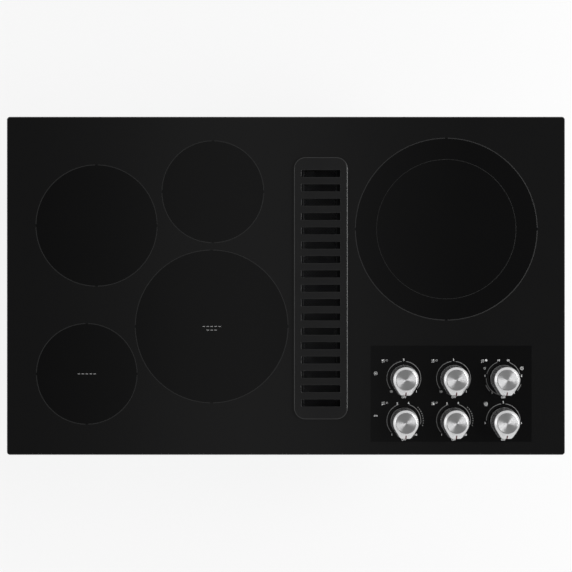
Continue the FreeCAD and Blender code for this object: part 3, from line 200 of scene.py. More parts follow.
class ColourSettings(PropertyGroup):
    """Colours of the finishes"""
    glass: colour("Glass", "Black glass", 0.0043, 0.0043, 0.0044)
    zone: colour("Zone", "Glass inside a printed ring", 0.0013, 0.0013, 0.0014)
    panel: colour("Panel", "Glass behind the knobs", 0.0012, 0.0012, 0.0013)
    zone_ink: colour("Zone Ink", "Rings round the zones", 0.0073, 0.0073, 0.0075)
    inner_ink: colour("Inner Ink", "Inner ring of the dual zone", 0.003, 0.003, 0.003)
    dial_ink: colour("Dial Ink", "Arcs round the knobs", 0.19, 0.19, 0.19)
    number_ink: colour("Number Ink", "Numbers and symbols", 0.68, 0.68, 0.68)
    mark_ink: colour("Mark Ink", "Dashes in the middle of a zone", 0.295, 0.295, 0.295)
    index: colour("Index", "Index line on the pointer", 0.07, 0.006, 0.009)
    knob: colour("Knob", "Satin metal of the knobs", 0.65, 0.65, 0.655)
    cap: colour("Cap", "Spun disc in the knob", 0.6, 0.6, 0.605)
    grille: colour("Grille", "Black enamel of the vent grille", 0.0073, 0.0073, 0.0075)
    zinc: colour("Zinc", "Galvanised sheet", 0.58, 0.6, 0.615)
    enamel: colour("Enamel", "Black enamel of the motor", 0.018, 0.018, 0.02)
    foam: colour("Foam", "Edge seal", 0.03, 0.03, 0.031)
    # Painted shade: the filter's frame is aluminium, and this dark tone stands for the shade in the grille's
    # slots.
    filter_frame: colour("Filter Frame", "Dark anodised frame of the filter", 0.031, 0.031, 0.032)


class StageSettings(PropertyGroup):
    """Camera, lamps and floor"""
    camera_height: length("Camera Height", "Height of the camera over the glass", 1310.5)
    camera_shift: FloatVectorProperty(name="Camera Shift", description="Place of the camera over the glass",
                                      default=(0.2 * MM, -0.3 * MM), size=2, unit="LENGTH")
    lens: number("Lens", "Focal length in millimetres", 50)
    lamp_bearing: number("Lamp Bearing", "Direction of the right lamp", math.radians(3), subtype="ANGLE")
    lamp_distance: length("Lamp Distance", "How far each lamp stands from the middle", 2200)
    lamp_height: length("Lamp Height", "Height of the lamps", 1500)
    lamp_size: length("Lamp Size", "Length of each lamp", 1900)
    lamp_depth: length("Lamp Depth", "Height of each lamp's panel", 900)
    key_power: number("Key Power", "Power of the right lamp", 51, unit="POWER")
    fill_power: number("Fill Power", "Power of the left lamp", 6, unit="POWER")
    zenith: number("Zenith", "Brightness of the sky straight above", 0.09)
    strip: number("Strip", "Extra brightness of the strip straight above", 0.12)
    horizon: number("Horizon", "Brightness of the sky all round", 1.0)
    floor: colour("Floor", "Pale floor", 0.86, 0.86, 0.86)
    floor_glow: number("Floor Glow", "Share of the floor that shows plain white", 0.8, subtype="FACTOR",
                       min=0, max=1)


class CooktopSettings(PropertyGroup):
    """All the settings of the cooktop"""
    marks: PointerProperty(type=MarkSettings)
    knob: PointerProperty(type=KnobSettings)
    fittings: PointerProperty(type=FittingSettings)
    colours: PointerProperty(type=ColourSettings)
    stage: PointerProperty(type=StageSettings)


# Shader nodes

def set_up(thing, settings):
    for name, value in settings.items():
        setattr(thing, name, value)


def operator(kind, swapped=False):
    """Arithmetic on a wire that adds a Math node."""
    def apply(wire, other=0):
        a, b = (other, wire) if swapped else (wire, other)
        return wire.tree.maths(kind, a, b)
    return apply


class Wire:
    """A socket of a node tree; arithmetic on it adds Math nodes."""
    __add__ = __radd__ = operator("ADD")
    __sub__ = operator("SUBTRACT")
    __rsub__ = operator("SUBTRACT", swapped=True)
    __mul__ = __rmul__ = operator("MULTIPLY")
    __truediv__ = operator("DIVIDE")
    __rtruediv__ = operator("DIVIDE", swapped=True)
    __pow__ = operator("POWER")
    __rpow__ = operator("POWER", swapped=True)
    __abs__ = operator("ABSOLUTE")

    def __init__(self, tree, socket):
        self.tree = tree
        self.socket = socket


class Tree:
    """A node tree that grows one node at a time."""

    def __init__(self, owner):
        owner.use_nodes = True
        self.nodes = owner.node_tree.nodes
        self.links = owner.node_tree.links

    def feed(self, socket, value):
        if isinstance(value, Wire):
            self.links.new(value.socket, socket)
        else:
            socket.default_value = value

    def node(self, kind, inputs, out=0, stops=(), **settings):
        """Adds a node, sets it up, feeds its sockets and gives one of its outputs."""
        node = self.nodes.new(f"ShaderNode{kind}")
        set_up(node, settings)
        for index, (at, tone) in enumerate(stops):
            elements = node.color_ramp.elements
            stop = elements[index] if index < len(elements) else elements.new(at)
            stop.position = at
            stop.color = (tone, tone, tone, 1)
        for name, value in inputs.items():
            self.feed(node.inputs[name], value)
        return Wire(self, node.outputs[out])

    def maths(self, operation, a, b, clamp=False):
        return self.node("Math", {0: a, 1: b}, operation=operation, use_clamp=clamp)

    def ramp(self, value, *stops):
        """A number that follows the stops, each a place and a number."""
        return self.node("ValToRGB", {"Fac": value}, stops=stops)

    def mix(self, factor, a, b):
        """Blends two colours."""
        a, b = (tone if isinstance(tone, Wire) else (*tone, 1) for tone in (a, b))
        return self.node("Mix", {0: factor, 6: a, 7: b}, out=2, data_type="RGBA")


class Finish(Tree):
    """A material: its Principled shader and the patterns that feed it."""

    def __init__(self, name, **constants):
        self.material = bpy.data.materials.new(name)
        super().__init__(self.material)
        self.shader = self.nodes["Principled BSDF"]
        self.vary(**constants)
        self.place = self.node("TexCoord", {}, out="Object")

    def noise(self, scale, detail, stretch=None):
        """Soft noise from 0 to 1, with its grain stretched along the axes."""
        place = self.place
        if stretch:
            place = self.node("Mapping", {"Vector": place, "Scale": stretch})
        return self.node("TexNoise", {"Vector": place, "Scale": scale, "Detail": detail})

    def cells(self, scale, out):
        return self.node("TexVoronoi", {"Vector": self.place, "Scale": scale}, out=out)

    def axis(self, name):
        return self.node("SeparateXYZ", {"Vector": self.place}, out=name)

    def distance(self, centre):
        """Distance in plan from a point."""
        return ((self.axis("X") - centre.x) ** 2 + (self.axis("Y") - centre.y) ** 2) ** 0.5

    def bump(self, height, distance, strength):
        normal = self.node("Bump", {"Height": height, "Distance": distance, "Strength": strength})
        self.feed(self.shader.inputs["Normal"], normal)

    def vary(self, **values):
        """Feeds values or patterns to the sockets of the shader."""
        for socket, value in values.items():
            self.feed(self.shader.inputs[socket.replace("_", " ")], value)
        return self.material


def shades(tone, *factors):
    """Darker or lighter shades of a colour."""
    return [tuple(min(1.0, part * factor) for part in tone) for factor in factors]


# Finishes

ZONE_EDGE = 0.5 * MM                        # width of the soft edge of the glass inside a ring
PANEL_LOW = Vector((55, 34.8)) * MM         # how far the panel reaches left of and before the knobs' axes
PANEL_HIGH = Vector((46.7, 53.9)) * MM      # and right of and behind them


def black_glass(colours, marks):
    """Polished black glass, darker inside the printed rings and behind the knobs, with faint smears."""
    finish = Finish("printed_glass", IOR=1.5)
    tone = finish.mix(finish.noise(1400.0, 1.0) * 0.5, *shades(colours.glass, 1, 1.25))
    for zone in ZONES:
        centre, radius = zone_circle(zone)
        edge = (radius - marks.pan_margin - finish.distance(centre)) / ZONE_EDGE
        tone = finish.mix(finish.maths("ADD", edge, 0.5, clamp=True), tone, colours.zone)
    within = []
    for axis, name in enumerate("XY"):
        near = min(spot[axis] for spot in DIALS.values()) - PANEL_LOW[axis]
        far = max(spot[axis] for spot in DIALS.values()) + PANEL_HIGH[axis]
        offset = abs(finish.axis(name) - (near + far) / 2)
        within.append(finish.maths("LESS_THAN", offset, (far - near) / 2))
    tone = finish.mix(within[0] * within[1], tone, colours.panel)
    smear = finish.ramp(finish.noise(7.0, 5.0, (1.0, 2.2, 1.0)), (0.35, 0.0), (0.75, 1.0))
    return finish.vary(Base_Color=tone, Roughness=0.05 + 0.07 * smear)


def fired_ink(name, tone):
    """Matt ink or paint, a little uneven."""
    finish = Finish(name, IOR=1.45)
    cover = finish.noise(900.0, 2.0)
    base = finish.mix(finish.ramp(cover, (0.3, 0.0), (0.7, 1.0)), *shades(tone, 0.88, 1.08))
    return finish.vary(Base_Color=base, Roughness=0.45 + 0.2 * cover)


def enamel(name, tone, gloss):
    """Baked enamel with a fine orange-peel skin."""
    finish = Finish(name, IOR=1.5)
    cloud = finish.noise(18.0, 3.0)
    finish.bump(finish.noise(650.0, 2.0), 0.05 * MM, 0.35)
    base = finish.mix(cloud, *shades(tone, 0.9, 1.15))
    return finish.vary(Base_Color=base, Roughness=gloss + 0.12 * cloud)


def grained(name, tones, roughness, spread, grain, relief=None, cloud=None, **constants):
    """A finish with one grain in its roughness and relief. That grain, or a cloud, blends its tones."""
    finish = Finish(name, **constants)
    fine = finish.noise(*grain)
    if relief:
        finish.bump(fine, *relief)
    base = finish.mix(finish.noise(*cloud) if cloud else fine, *tones)
    return finish.vary(Base_Color=base, Roughness=roughness + spread * fine)


def satin_metal(tone):
    """Satin plated metal with a fine level grain round the knob."""
    return grained("satin_metal", shades(tone, 0.94, 1.04), roughness=0.23, spread=0.08,
                   grain=(420.0, 4.0, (1.0, 1.0, 9.0)), relief=(0.01 * MM, 0.2), cloud=(45.0, 2.0),
                   Metallic=0.93)


def spun_metal(tone):
    """A spun aluminium disc, whose fine rings draw the light out into a bow tie."""
    return grained("spun_metal", shades(tone, 0.92, 1.06), roughness=0.47, spread=0.06, grain=(2200.0, 2.0),
                   relief=(0.004 * MM, 0.3), Metallic=1.0, Anisotropic=0.95, Anisotropic_Rotation=0.25)


def drawn_metal(name, tone, roughness):
    """Metal with a fine drawn grain: bright steel, oxidised alloy, or the filter's frame, whose dark tone is
    painted shade.
    """
    return grained(name, shades(tone, 0.82, 1.08), roughness, spread=0.12,
                   grain=(220.0, 4.0, (1.0, 1.0, 0.15)), Metallic=1.0)


def moulding(name, tone, roughness):
    """Moulded plastic, rubber or ceramic with a fine pitted skin."""
    return grained(name, shades(tone, 0.88, 1.12), roughness, spread=0.1, grain=(420.0, 2.0),
                   relief=(0.04 * MM, 0.5), cloud=(30.0, 3.0))


def insulating_fibre():
    """Moulded insulating fibre."""
    return grained("moulded_fibre", ((0.62, 0.6, 0.55), (0.88, 0.87, 0.84)), roughness=0.85, spread=0.1,
                   grain=(160.0, 6.0, (1.0, 0.4, 1.0)), relief=(0.4 * MM, 0.6))


def galvanised(tone):
    """Hot-dipped zinc: crystals of slightly different tone and gloss, with long rolling smears."""
    finish = Finish("hot_dip_zinc", Metallic=1.0)
    shade = finish.node("SeparateColor", {"Color": finish.cells(110.0, "Color")}, out="Red")
    smear = finish.noise(9.0, 4.0, (1.0, 3.0, 3.0))
    finish.bump(shade, 0.03 * MM, 0.25)
    base = finish.mix(0.65 * shade + 0.35 * smear, *shades(tone, 0.8, 1.1))
    return finish.vary(Base_Color=base, Roughness=0.34 + 0.16 * shade + 0.08 * smear)


def foam(tone):
    """Closed-cell foam."""
    finish = Finish("closed_cell_foam")
    cells = finish.cells(900.0, "Distance")
    finish.bump(cells, 0.25 * MM, 0.7)
    base = finish.mix(cells, *shades(tone, 1.2, 0.6))
    return finish.vary(Base_Color=base, Roughness=0.75 + 0.2 * cells)


def shade_darkened_mesh():
    """Layers of fine aluminium mesh, coloured very dark: painted shade for the deep slots under the grille."""
    finish = Finish("shade_darkened_mesh", Metallic=1.0)
    waves = []
    for turn in (math.radians(45), math.radians(-45)):
        along = finish.node("Mapping", {"Vector": finish.place, "Rotation": (0, 0, turn)})
        waves.append(finish.node("TexWave", {"Vector": along, "Scale": 90.0, "Distortion": 0.6}))
    weave = finish.maths("MAXIMUM", *waves)
    finish.bump(weave, 0.4 * MM, 0.8)
    # Painted shade: the aluminium is given a near-black tone to stand for the shade in the grille's slots; the
    # weave varies it.
    base = finish.mix(weave, (0.016, 0.016, 0.016), (0.093, 0.093, 0.096))
    return finish.vary(Base_Color=base, Roughness=0.55 - 0.2 * weave)


def finish_of(slot):
    """The finish of a material slot, from a solid that has it."""
    node = next(row["node"] for row in frame["record"]["subparts"] if row["material_slot"] == slot)
    return frame["nodes"][node].data.materials[0]


# Modelling

def pick(*pieces):
    """Selects these pieces alone, the first of them active."""
    bpy.ops.object.select_all(action="DESELECT")
    for piece in pieces:
        piece.select_set(True)
    bpy.context.view_layer.objects.active = pieces[0]


def add(kind, scale=(1, 1, 1), **settings):
    """Adds a primitive, alone selected, with its place in its mesh."""
    bpy.ops.object.select_all(action="DESELECT")
    getattr(bpy.ops.mesh, f"primitive_{kind}_add")(**settings)
    piece = bpy.context.object
    piece.scale = scale
    bpy.ops.object.transform_apply(location=True, rotation=True, scale=True)
    return piece


@contextmanager
def editing(piece):
    """Edit mode on one piece, with all of it selected."""
    pick(piece)
    bpy.ops.object.mode_set(mode="EDIT")
    bpy.ops.mesh.select_all(action="SELECT")
    yield
    bpy.ops.object.mode_set(mode="OBJECT")


def choose(kind, wanted):
    """Selects the vertices, edges or faces in edit mode for which wanted is true."""
    bpy.ops.mesh.select_mode(type=kind)
    bpy.ops.mesh.select_all(action="DESELECT")
    mesh = bpy.context.object.data
    shape = bmesh.from_edit_mesh(mesh)
    for item in {"VERT": shape.verts, "EDGE": shape.edges, "FACE": shape.faces}[kind]:
        if wanted(item):
            item.select_set(True)
    shape.select_flush_mode()
    bmesh.update_edit_mesh(mesh)


def upright(edge):
    return abs((edge.verts[0].co - edge.verts[1].co).normalized().z) > 0.9


def facing(way):
    """A test for faces that look one way."""
    return lambda face: face.normal.dot(way) > 0.9


def round_corners(offset, segments):
    """Bevels the upright edges in edit mode."""
    choose("EDGE", upright)
    bpy.ops.mesh.bevel(offset=offset, segments=segments)


def stretch(offset, factor=(1, 1, 1), centre=ORIGIN):
    """Extrudes the selection in edit mode by an offset and scales its new end about the centre."""
    bpy.ops.mesh.extrude_region_move(TRANSFORM_OT_translate={"value": offset})
    bpy.ops.transform.resize(value=factor, center_override=centre)


def halve(normal):
    """Keeps the half of the mesh in edit mode on the side of the origin that the normal points to."""
    bpy.ops.mesh.select_all(action="SELECT")
    bpy.ops.mesh.bisect(plane_co=ORIGIN, plane_no=normal, clear_inner=True, use_fill=True)
    bpy.ops.mesh.select_all(action="SELECT")


def spin(piece, centre, sweep, steps, axis=UP):
    """Spins the outline of a face anticlockwise about an axis through the centre, and closes its ends."""
    with editing(piece):
        bpy.ops.mesh.delete(type="ONLY_FACE")
        bpy.ops.mesh.select_mode(type="VERT")
        bpy.ops.mesh.select_all(action="SELECT")
        bpy.ops.mesh.spin(steps=steps, angle=-sweep, center=centre, axis=axis)
        bpy.ops.mesh.select_all(action="SELECT")
        bpy.ops.mesh.remove_doubles(threshold=MERGE)
        bpy.ops.mesh.fill_holes(sides=0)
        bpy.ops.mesh.normals_make_consistent(inside=False)


def modify(piece, kind, **settings):
    """Adds a modifier, sets it up and applies it."""
    pick(piece)
    bpy.ops.object.modifier_add(type=kind)
    modifier = piece.modifiers[-1]
    set_up(modifier, settings)
    bpy.ops.object.modifier_apply(modifier=modifier.name)


def soften(piece, angle, width, segments):
    """Bevels the edges that are sharper than an angle in degrees."""
    modify(piece, "BEVEL", limit_method="ANGLE", angle_limit=math.radians(angle), width=width,
           segments=segments)


def carve(piece, cutter, operation="DIFFERENCE"):
    """Cuts the cutter out of the piece, joins it on or keeps what they share, and removes the cutter."""
    modify(piece, "BOOLEAN", object=cutter, operation=operation, solver="EXACT")
    bpy.data.objects.remove(cutter)


def duplicate(piece, place=Matrix()):
    """A copy with its own mesh, moved and turned to its place."""
    copy = piece.copy()
    copy.data = piece.data.copy()
    bpy.context.scene.collection.objects.link(copy)
    pick(copy)
    copy.matrix_world = place
    bpy.ops.object.transform_apply(location=True, rotation=True, scale=True)
    return copy


def copies(pattern, places):
    """Turns a pattern into one piece of its copies: each has a spot, a way to face and a way to lie."""
    made = []
    for spot, out, along in places:
        turn = Matrix((along, out.cross(along), out)).transposed().to_4x4()
        made.append(duplicate(pattern, Matrix.Translation(spot) @ turn))
    bpy.data.objects.remove(pattern)
    return join(made)


def join(pieces):
    pick(*pieces)
    bpy.ops.object.join()
    return bpy.context.object


def complete(piece, name, body, slot=None, replaces=(), material=None):
    """Names a finished piece, gives it its finish and puts it on the body that carries it."""
    piece.name = name
    piece.data.name = name
    pick(piece)
    bpy.ops.object.shade_smooth_by_angle(angle=math.radians(35))
    piece.data.materials.clear()
    piece.data.materials.append(material or finish_of(slot))
    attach(piece, body)
    if replaces:
        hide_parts(*replaces)


# Printed marks

ARC_ERROR = 0.02 * MM       # how far the facets of a printed arc may lie inside a true circle


def arc_mark(marks, centre, radius, width, start=0.0, sweep=TURN):
    """A printed arc, or a whole ring: an upright strip of ink, spun about the centre."""
    spot = centre + heading(start) * radius + UP * (marks.ink / 2)
    strip = add("plane", size=1, location=spot, rotation=(QUARTER, 0, start), scale=(width, marks.ink, 1))
    spin(strip, centre, sweep, max(3, math.ceil(sweep * math.sqrt(radius / (8 * ARC_ERROR)))))
    return strip


def bar_mark(marks, centre, size, turn=0.0):
    """A printed bar with rounded corners."""
    bar = add("cube", size=1, location=centre + UP * (marks.ink / 2), rotation=(0, 0, turn),
              scale=(*size, marks.ink))
    with editing(bar):
        round_corners(0.3 * min(size), 3)
    return bar


def dot_mark(marks, centre, radius):
    """A printed dot with a softened rim."""
    dot = add("cylinder", vertices=20, radius=radius, depth=marks.ink,
              location=centre + UP * (marks.ink / 2))
    with editing(dot):
        choose("FACE", facing(UP))
        bpy.ops.mesh.inset(thickness=0.15 * radius)
    return dot


def word_mark(marks, words, centre, height):
    """Printed numbers or letters, a little bolder than the plain face."""
    bpy.ops.object.select_all(action="DESELECT")
    bpy.ops.object.text_add(location=centre)
    mark = bpy.context.object
    set_up(mark.data, {"body": words, "size": height, "align_x": "CENTER", "align_y": "CENTER",
                       "extrude": marks.ink / 2, "offset": 0.025 * height, "resolution_u": 4})
    bpy.ops.object.convert(target="MESH")
    mark.location.z += marks.ink / 2
    bpy.ops.object.transform_apply(location=True, rotation=True, scale=True)
    with editing(mark):
        bpy.ops.mesh.remove_doubles(threshold=MERGE)
    return mark


class COOKTOP_OT_zone_rings(Operator):
    """Prints the rings round the cooking zones"""
    bl_idname = "cooktop.zone_rings"
    bl_label = "Zone Rings"

    def execute(self, context):
        settings = context.scene.cooktop
        marks, colours = settings.marks, settings.colours
        arcs = []
        for zone in ZONES:
            centre, pan = zone_circle(zone)
            radius = pan - marks.pan_margin
            gap = marks.ring_gap / radius
            for quarter in range(4):
                start = quarter * QUARTER + gap / 2
                arcs.append(arc_mark(marks, centre, radius, marks.ring_width, start, QUARTER - gap))
        complete(join(arcs), "zone_rings", "base", material=fired_ink("zone_ink", colours.zone_ink))
        inner = arc_mark(marks, zone_circle("right")[0], marks.inner_ring, marks.inner_width)
        complete(inner, "inner_ring", "base", material=fired_ink("inner_ink", colours.inner_ink))
        return {"FINISHED"}


class COOKTOP_OT_dials(Operator):
    """Prints the arcs, numbers and symbols round each knob"""
    bl_idname = "cooktop.dials"
    bl_label = "Dials"

    # Hours of the clock at which arcs start and end, and at which numbers stand
    FULL_ARCS = ((7.75, 11.75), (12.25, 16.25))
    FULL_NUMBERS = ((7.45, "10"), (12, "5"), (4.55, "1"))
    SIMMER_ARCS = ((7.6, 11.4), (12.6, 15.4))
    SIMMER_NUMBERS = ((7.35, "1"), (11.3, "5"), (12.5, "6"), (4.67, "10"))
    ARCS = {
        "left_rear": FULL_ARCS,
        "centre_rear": FULL_ARCS,
        "right": ((6.5, 9.0), (9.5, 11.3), (12.7, 14.5), (15.0, 17.2)),
        "left_front": SIMMER_ARCS,
        "centre_front": SIMMER_ARCS,
        "fan": ((9.0, 11.75), (12.25, 15.0)),
    }
    NUMBERS = {
        "left_rear": FULL_NUMBERS,
        "centre_rear": FULL_NUMBERS,
        "right": ((11.5, "10"), (12.5, "10"), (9.25, "5"), (2.75, "5"), (7.25, "1"), (4.75, "1")),
        "left_front": SIMMER_NUMBERS,
        "centre_front": SIMMER_NUMBERS,
        "fan": ((8.75, "3"), (12, "2"), (3.25, "1")),
    }
    DUAL_BARS = ((7.55, 8.3), (15.65, 16.4))
    FIRST_DASH, DASH_PITCH, DASH_LENGTH, DASHES = 13.5, 0.24, 0.11, 9

    # Reach outside the arc, and width, of a bar and of a dash
    DUAL_BAR = (2.7 * MM, 1.1 * MM)
    SIMMER_DASH = (4 * MM, 1.4 * MM)
    OFF_SPACE = 1 * MM          # how much further out OFF stands than the numbers

    # Symbols, with their places from a knob's axis, radii and widths of line
    PLAN_PLACE = Vector((-31.5 * MM, 28.4 * MM, 0))
    PLAN_LINE = 0.35 * MM
    DUAL_LEFT, DUAL_RIGHT = (Vector((x * MM, 16.4 * MM, 0)) for x in (-30.6, 30.6))
    DUAL_RINGS = ((DUAL_LEFT, 1.5 * MM), (DUAL_RIGHT, 1.5 * MM), (DUAL_RIGHT, 2.7 * MM))
    DUAL_LINE = 0.5 * MM
    FAN_PLACE = Vector((-28.5 * MM, 27.5 * MM, 0))
    FAN_HUB = 0.6 * MM
    FAN_RING = (3.1 * MM, 0.4 * MM)
    BLADE, BLADE_REACH, BLADE_TURN = (1.7 * MM, 1.1 * MM), 1.75 * MM, 0.6
    HEAT_DOT = 1.1 * MM
    HEAT_RING = (2.6 * MM, 0.6 * MM)

    def execute(self, context):
        settings = context.scene.cooktop
        marks, colours = settings.marks, settings.colours
        white = fired_ink("number_ink", colours.number_ink)
        grey = fired_ink("dial_ink", colours.dial_ink)
        complete(join(self.arcs(marks)), "dial_arcs", "base", material=grey)
        complete(join(self.numbers(marks)), "dial_numbers", "base", material=white)
        complete(join(self.symbols(marks)), "dial_symbols", "base", material=white)
        return {"FINISHED"}

    def arcs(self, marks):
        """The arc round each knob, a bar each side of the dual one, and dashes outside the simmer range."""
        plain = (0.0, marks.dial_width)
        spans = [(name, *hours, *plain) for name, arcs in self.ARCS.items() for hours in arcs]
        spans += [("right", *hours, *self.DUAL_BAR) for hours in self.DUAL_BARS]
        for name in ("left_front", "centre_front"):
            for dash in range(self.DASHES):
                hour = self.FIRST_DASH + self.DASH_PITCH * dash
                spans.append((name, hour, hour + self.DASH_LENGTH, *self.SIMMER_DASH))
        return [arc_mark(marks, DIALS[name], marks.dial_radius + reach, width, clock(late),
                         clock(early) - clock(late)) for name, early, late, reach, width in spans]

    def numbers(self, marks):
        """The numbers round each arc, and OFF below it."""
        made = []
        reach = marks.dial_radius + marks.number_space
        for name, numbers in self.NUMBERS.items():
            for hour, words in numbers:
                spot = DIALS[name] + heading(clock(hour)) * reach
                made.append(word_mark(marks, words, spot, marks.numeral))
            below = DIALS[name] - REAR * (reach + self.OFF_SPACE)
            made.append(word_mark(marks, "OFF", below, 0.9 * marks.numeral))
        return made

    def symbols(self, marks):
        """A small plan of the zones beside each heater's knob, a fan beside the last, and two lamp marks."""
        made = []
        for name in HEATERS:
            for zone in ZONES:
                centre, radius = zone_circle(zone)
                spot = DIALS[name] + self.PLAN_PLACE + (centre.xy * marks.plan_scale).to_3d()
                if zone == name:
                    made.append(dot_mark(marks, spot, radius * marks.plan_scale))
                else:
                    made.append(arc_mark(marks, spot, 0.7 * radius * marks.plan_scale, self.PLAN_LINE))
        for place, radius in self.DUAL_RINGS:
            made.append(arc_mark(marks, DIALS["right"] + place, radius, self.DUAL_LINE))
        made += self.fan(marks, DIALS["fan"] + self.FAN_PLACE)
        low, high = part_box("indicator_lamps")
        radius = (high.x - low.x) / 2
        heat, power = (Vector((low.x + radius, y, GLASS)) for y in (high.y - radius, low.y + radius))
        made += [dot_mark(marks, heat, self.HEAT_DOT), arc_mark(marks, heat, *self.HEAT_RING)]
        made.append(word_mark(marks, "ON", power, 0.8 * marks.numeral))
        return made

    def fan(self, marks, spot):
        """Four blades round a hub, in a ring."""
        made = [dot_mark(marks, spot, self.FAN_HUB), arc_mark(marks, spot, *self.FAN_RING)]
        for blade in range(4):
            turn = blade * QUARTER
            place = spot + heading(turn) * self.BLADE_REACH
            made.append(bar_mark(marks, place, self.BLADE, turn + self.BLADE_TURN))
        return made


class COOKTOP_OT_zone_marks(Operator):
    """Prints a short row of dashes in the middle of two zones"""
    bl_idname = "cooktop.zone_marks"
    bl_label = "Zone Marks"

    DASH = (4.2 * MM, 1.1 * MM)
    PITCH = 6.5 * MM
    ROW_PITCH = 6 * MM

    def execute(self, context):
        settings = context.scene.cooktop
        dashes = []
        for zone, rows in (("left_front", (5,)), ("centre_front", (5, 3))):
            centre = zone_circle(zone)[0]
            for row, count in enumerate(rows):
                for number in range(count):
                    x = centre.x + (number - (count - 1) / 2) * self.PITCH
                    spot = Vector((x, centre.y - row * self.ROW_PITCH, GLASS))
                    dashes.append(bar_mark(settings.marks, spot, self.DASH))
        ink = fired_ink("mark_ink", settings.colours.mark_ink)
        complete(join(dashes), "zone_marks", "base", material=ink)
        return {"FINISHED"}


# Knobs

class COOKTOP_OT_knobs(Operator):
    """Models one knob with its index line, and copies it to each shaft"""
    bl_idname = "cooktop.knobs"
    bl_label = "Knobs"

    def execute(self, context):
        settings = context.scene.cooktop
        knob = settings.knob
        body = self.blank(knob)
        line = self.index_line(knob, body)
        self.hollow(knob, body)
        red = fired_ink("index_ink", settings.colours.index)
        for name in (*HEATERS, "fan"):
            node = f"knob_{name}"
            place = Matrix.Translation((*DIALS[name].xy, KNOB_LOW.z))
            complete(duplicate(body, place), f"pointer_knob_{name}", node, "knob_metal", [node])
            complete(duplicate(line, place), f"index_line_{name}", node, material=red)
        for pattern in (body, line):
            bpy.data.objects.remove(pattern)
        return {"FINISHED"}

    def blank(self, knob):
        """A round body drawn out into a pointer, with a sloping ring round its top and a flared foot."""
        reach = BEAK_REACH - knob.beak_corner
        side = knob.beak_half - knob.beak_corner
        posts = [(knob.facets, KNOB_RADIUS, 0, 0, knob.crown)]
        posts += [(knob.facets // 2, knob.beak_corner, x, -reach, knob.beak_drop) for x in (-side, side)]
        body = add("circle", vertices=knob.facets, radius=CAP_RADIUS + knob.seat_clearance,
                   location=UP * KNOB_HEIGHT)
        with editing(body):
            for vertices, radius, x, y, drop in posts:
                depth = KNOB_HEIGHT - drop - knob.foot
                bpy.ops.mesh.primitive_cone_add(
                    vertices=vertices, radius1=radius + knob.taper, radius2=radius, depth=depth,
                    location=(x, y, knob.foot + depth / 2))
            bpy.ops.mesh.select_all(action="SELECT")
            bpy.ops.mesh.convex_hull()
            bpy.ops.mesh.select_all(action="SELECT")
            bpy.ops.mesh.dissolve_limited(angle_limit=math.radians(0.3))
            choose("FACE", facing(-UP))
            stretch(UP * -knob.foot, (knob.flare, knob.flare, 1))
        soften(body, 22, knob.edge, 4)
        return body

    def index_line(self, knob, body):
        """A line of paint that follows the top and the rounded front of the pointer."""
        skin = duplicate(body)
        modify(skin, "DISPLACE", strength=knob.index_proud, mid_level=0)
        start = CAP_RADIUS + knob.index_start
        depth = BEAK_REACH + 2 * OVERCUT - start
        bar = add("cube", size=1, location=(0, -start - depth / 2, KNOB_HEIGHT),
                  scale=(knob.index_width, depth, 4 * knob.crown))
        with editing(bar):
            round_corners(0.45 * knob.index_width, 4)
        carve(bar, skin, "INTERSECT")
        return bar

    def hollow(self, knob, body):
        """Sinks the seat of the disc into the top, and hollows the underside round a hub with its bore."""
        carve(body, add("cylinder", vertices=knob.facets, radius=CAP_RADIUS + knob.seat_clearance,
                        depth=2 * OVERCUT, location=UP * (CAP_FLOOR - KNOB_LOW.z + OVERCUT)))
        roof = SHAFT_TOP - KNOB_LOW.z
        inside = KNOB_RADIUS - knob.wall
        ring = add("plane", size=1, rotation=(QUARTER, 0, 0), scale=(inside - knob.hub, roof + OVERCUT, 1),
                   location=((inside + knob.hub) / 2, 0, (roof - OVERCUT) / 2))
        spin(ring, ORIGIN, TURN, 64)
        carve(body, ring)
        for vertices, radius, top in ((64, knob.hub + OVERCUT, knob.hub_recess),
                                      (32, SHAFT_RADIUS + knob.bore_clearance, roof)):
            carve(body, add("cylinder", vertices=vertices, radius=radius, depth=top + OVERCUT,
                            location=UP * ((top - OVERCUT) / 2)))
        with editing(body):
            bpy.ops.mesh.dissolve_degenerate(threshold=2 * MERGE)


# Filter, seal, motor and screws

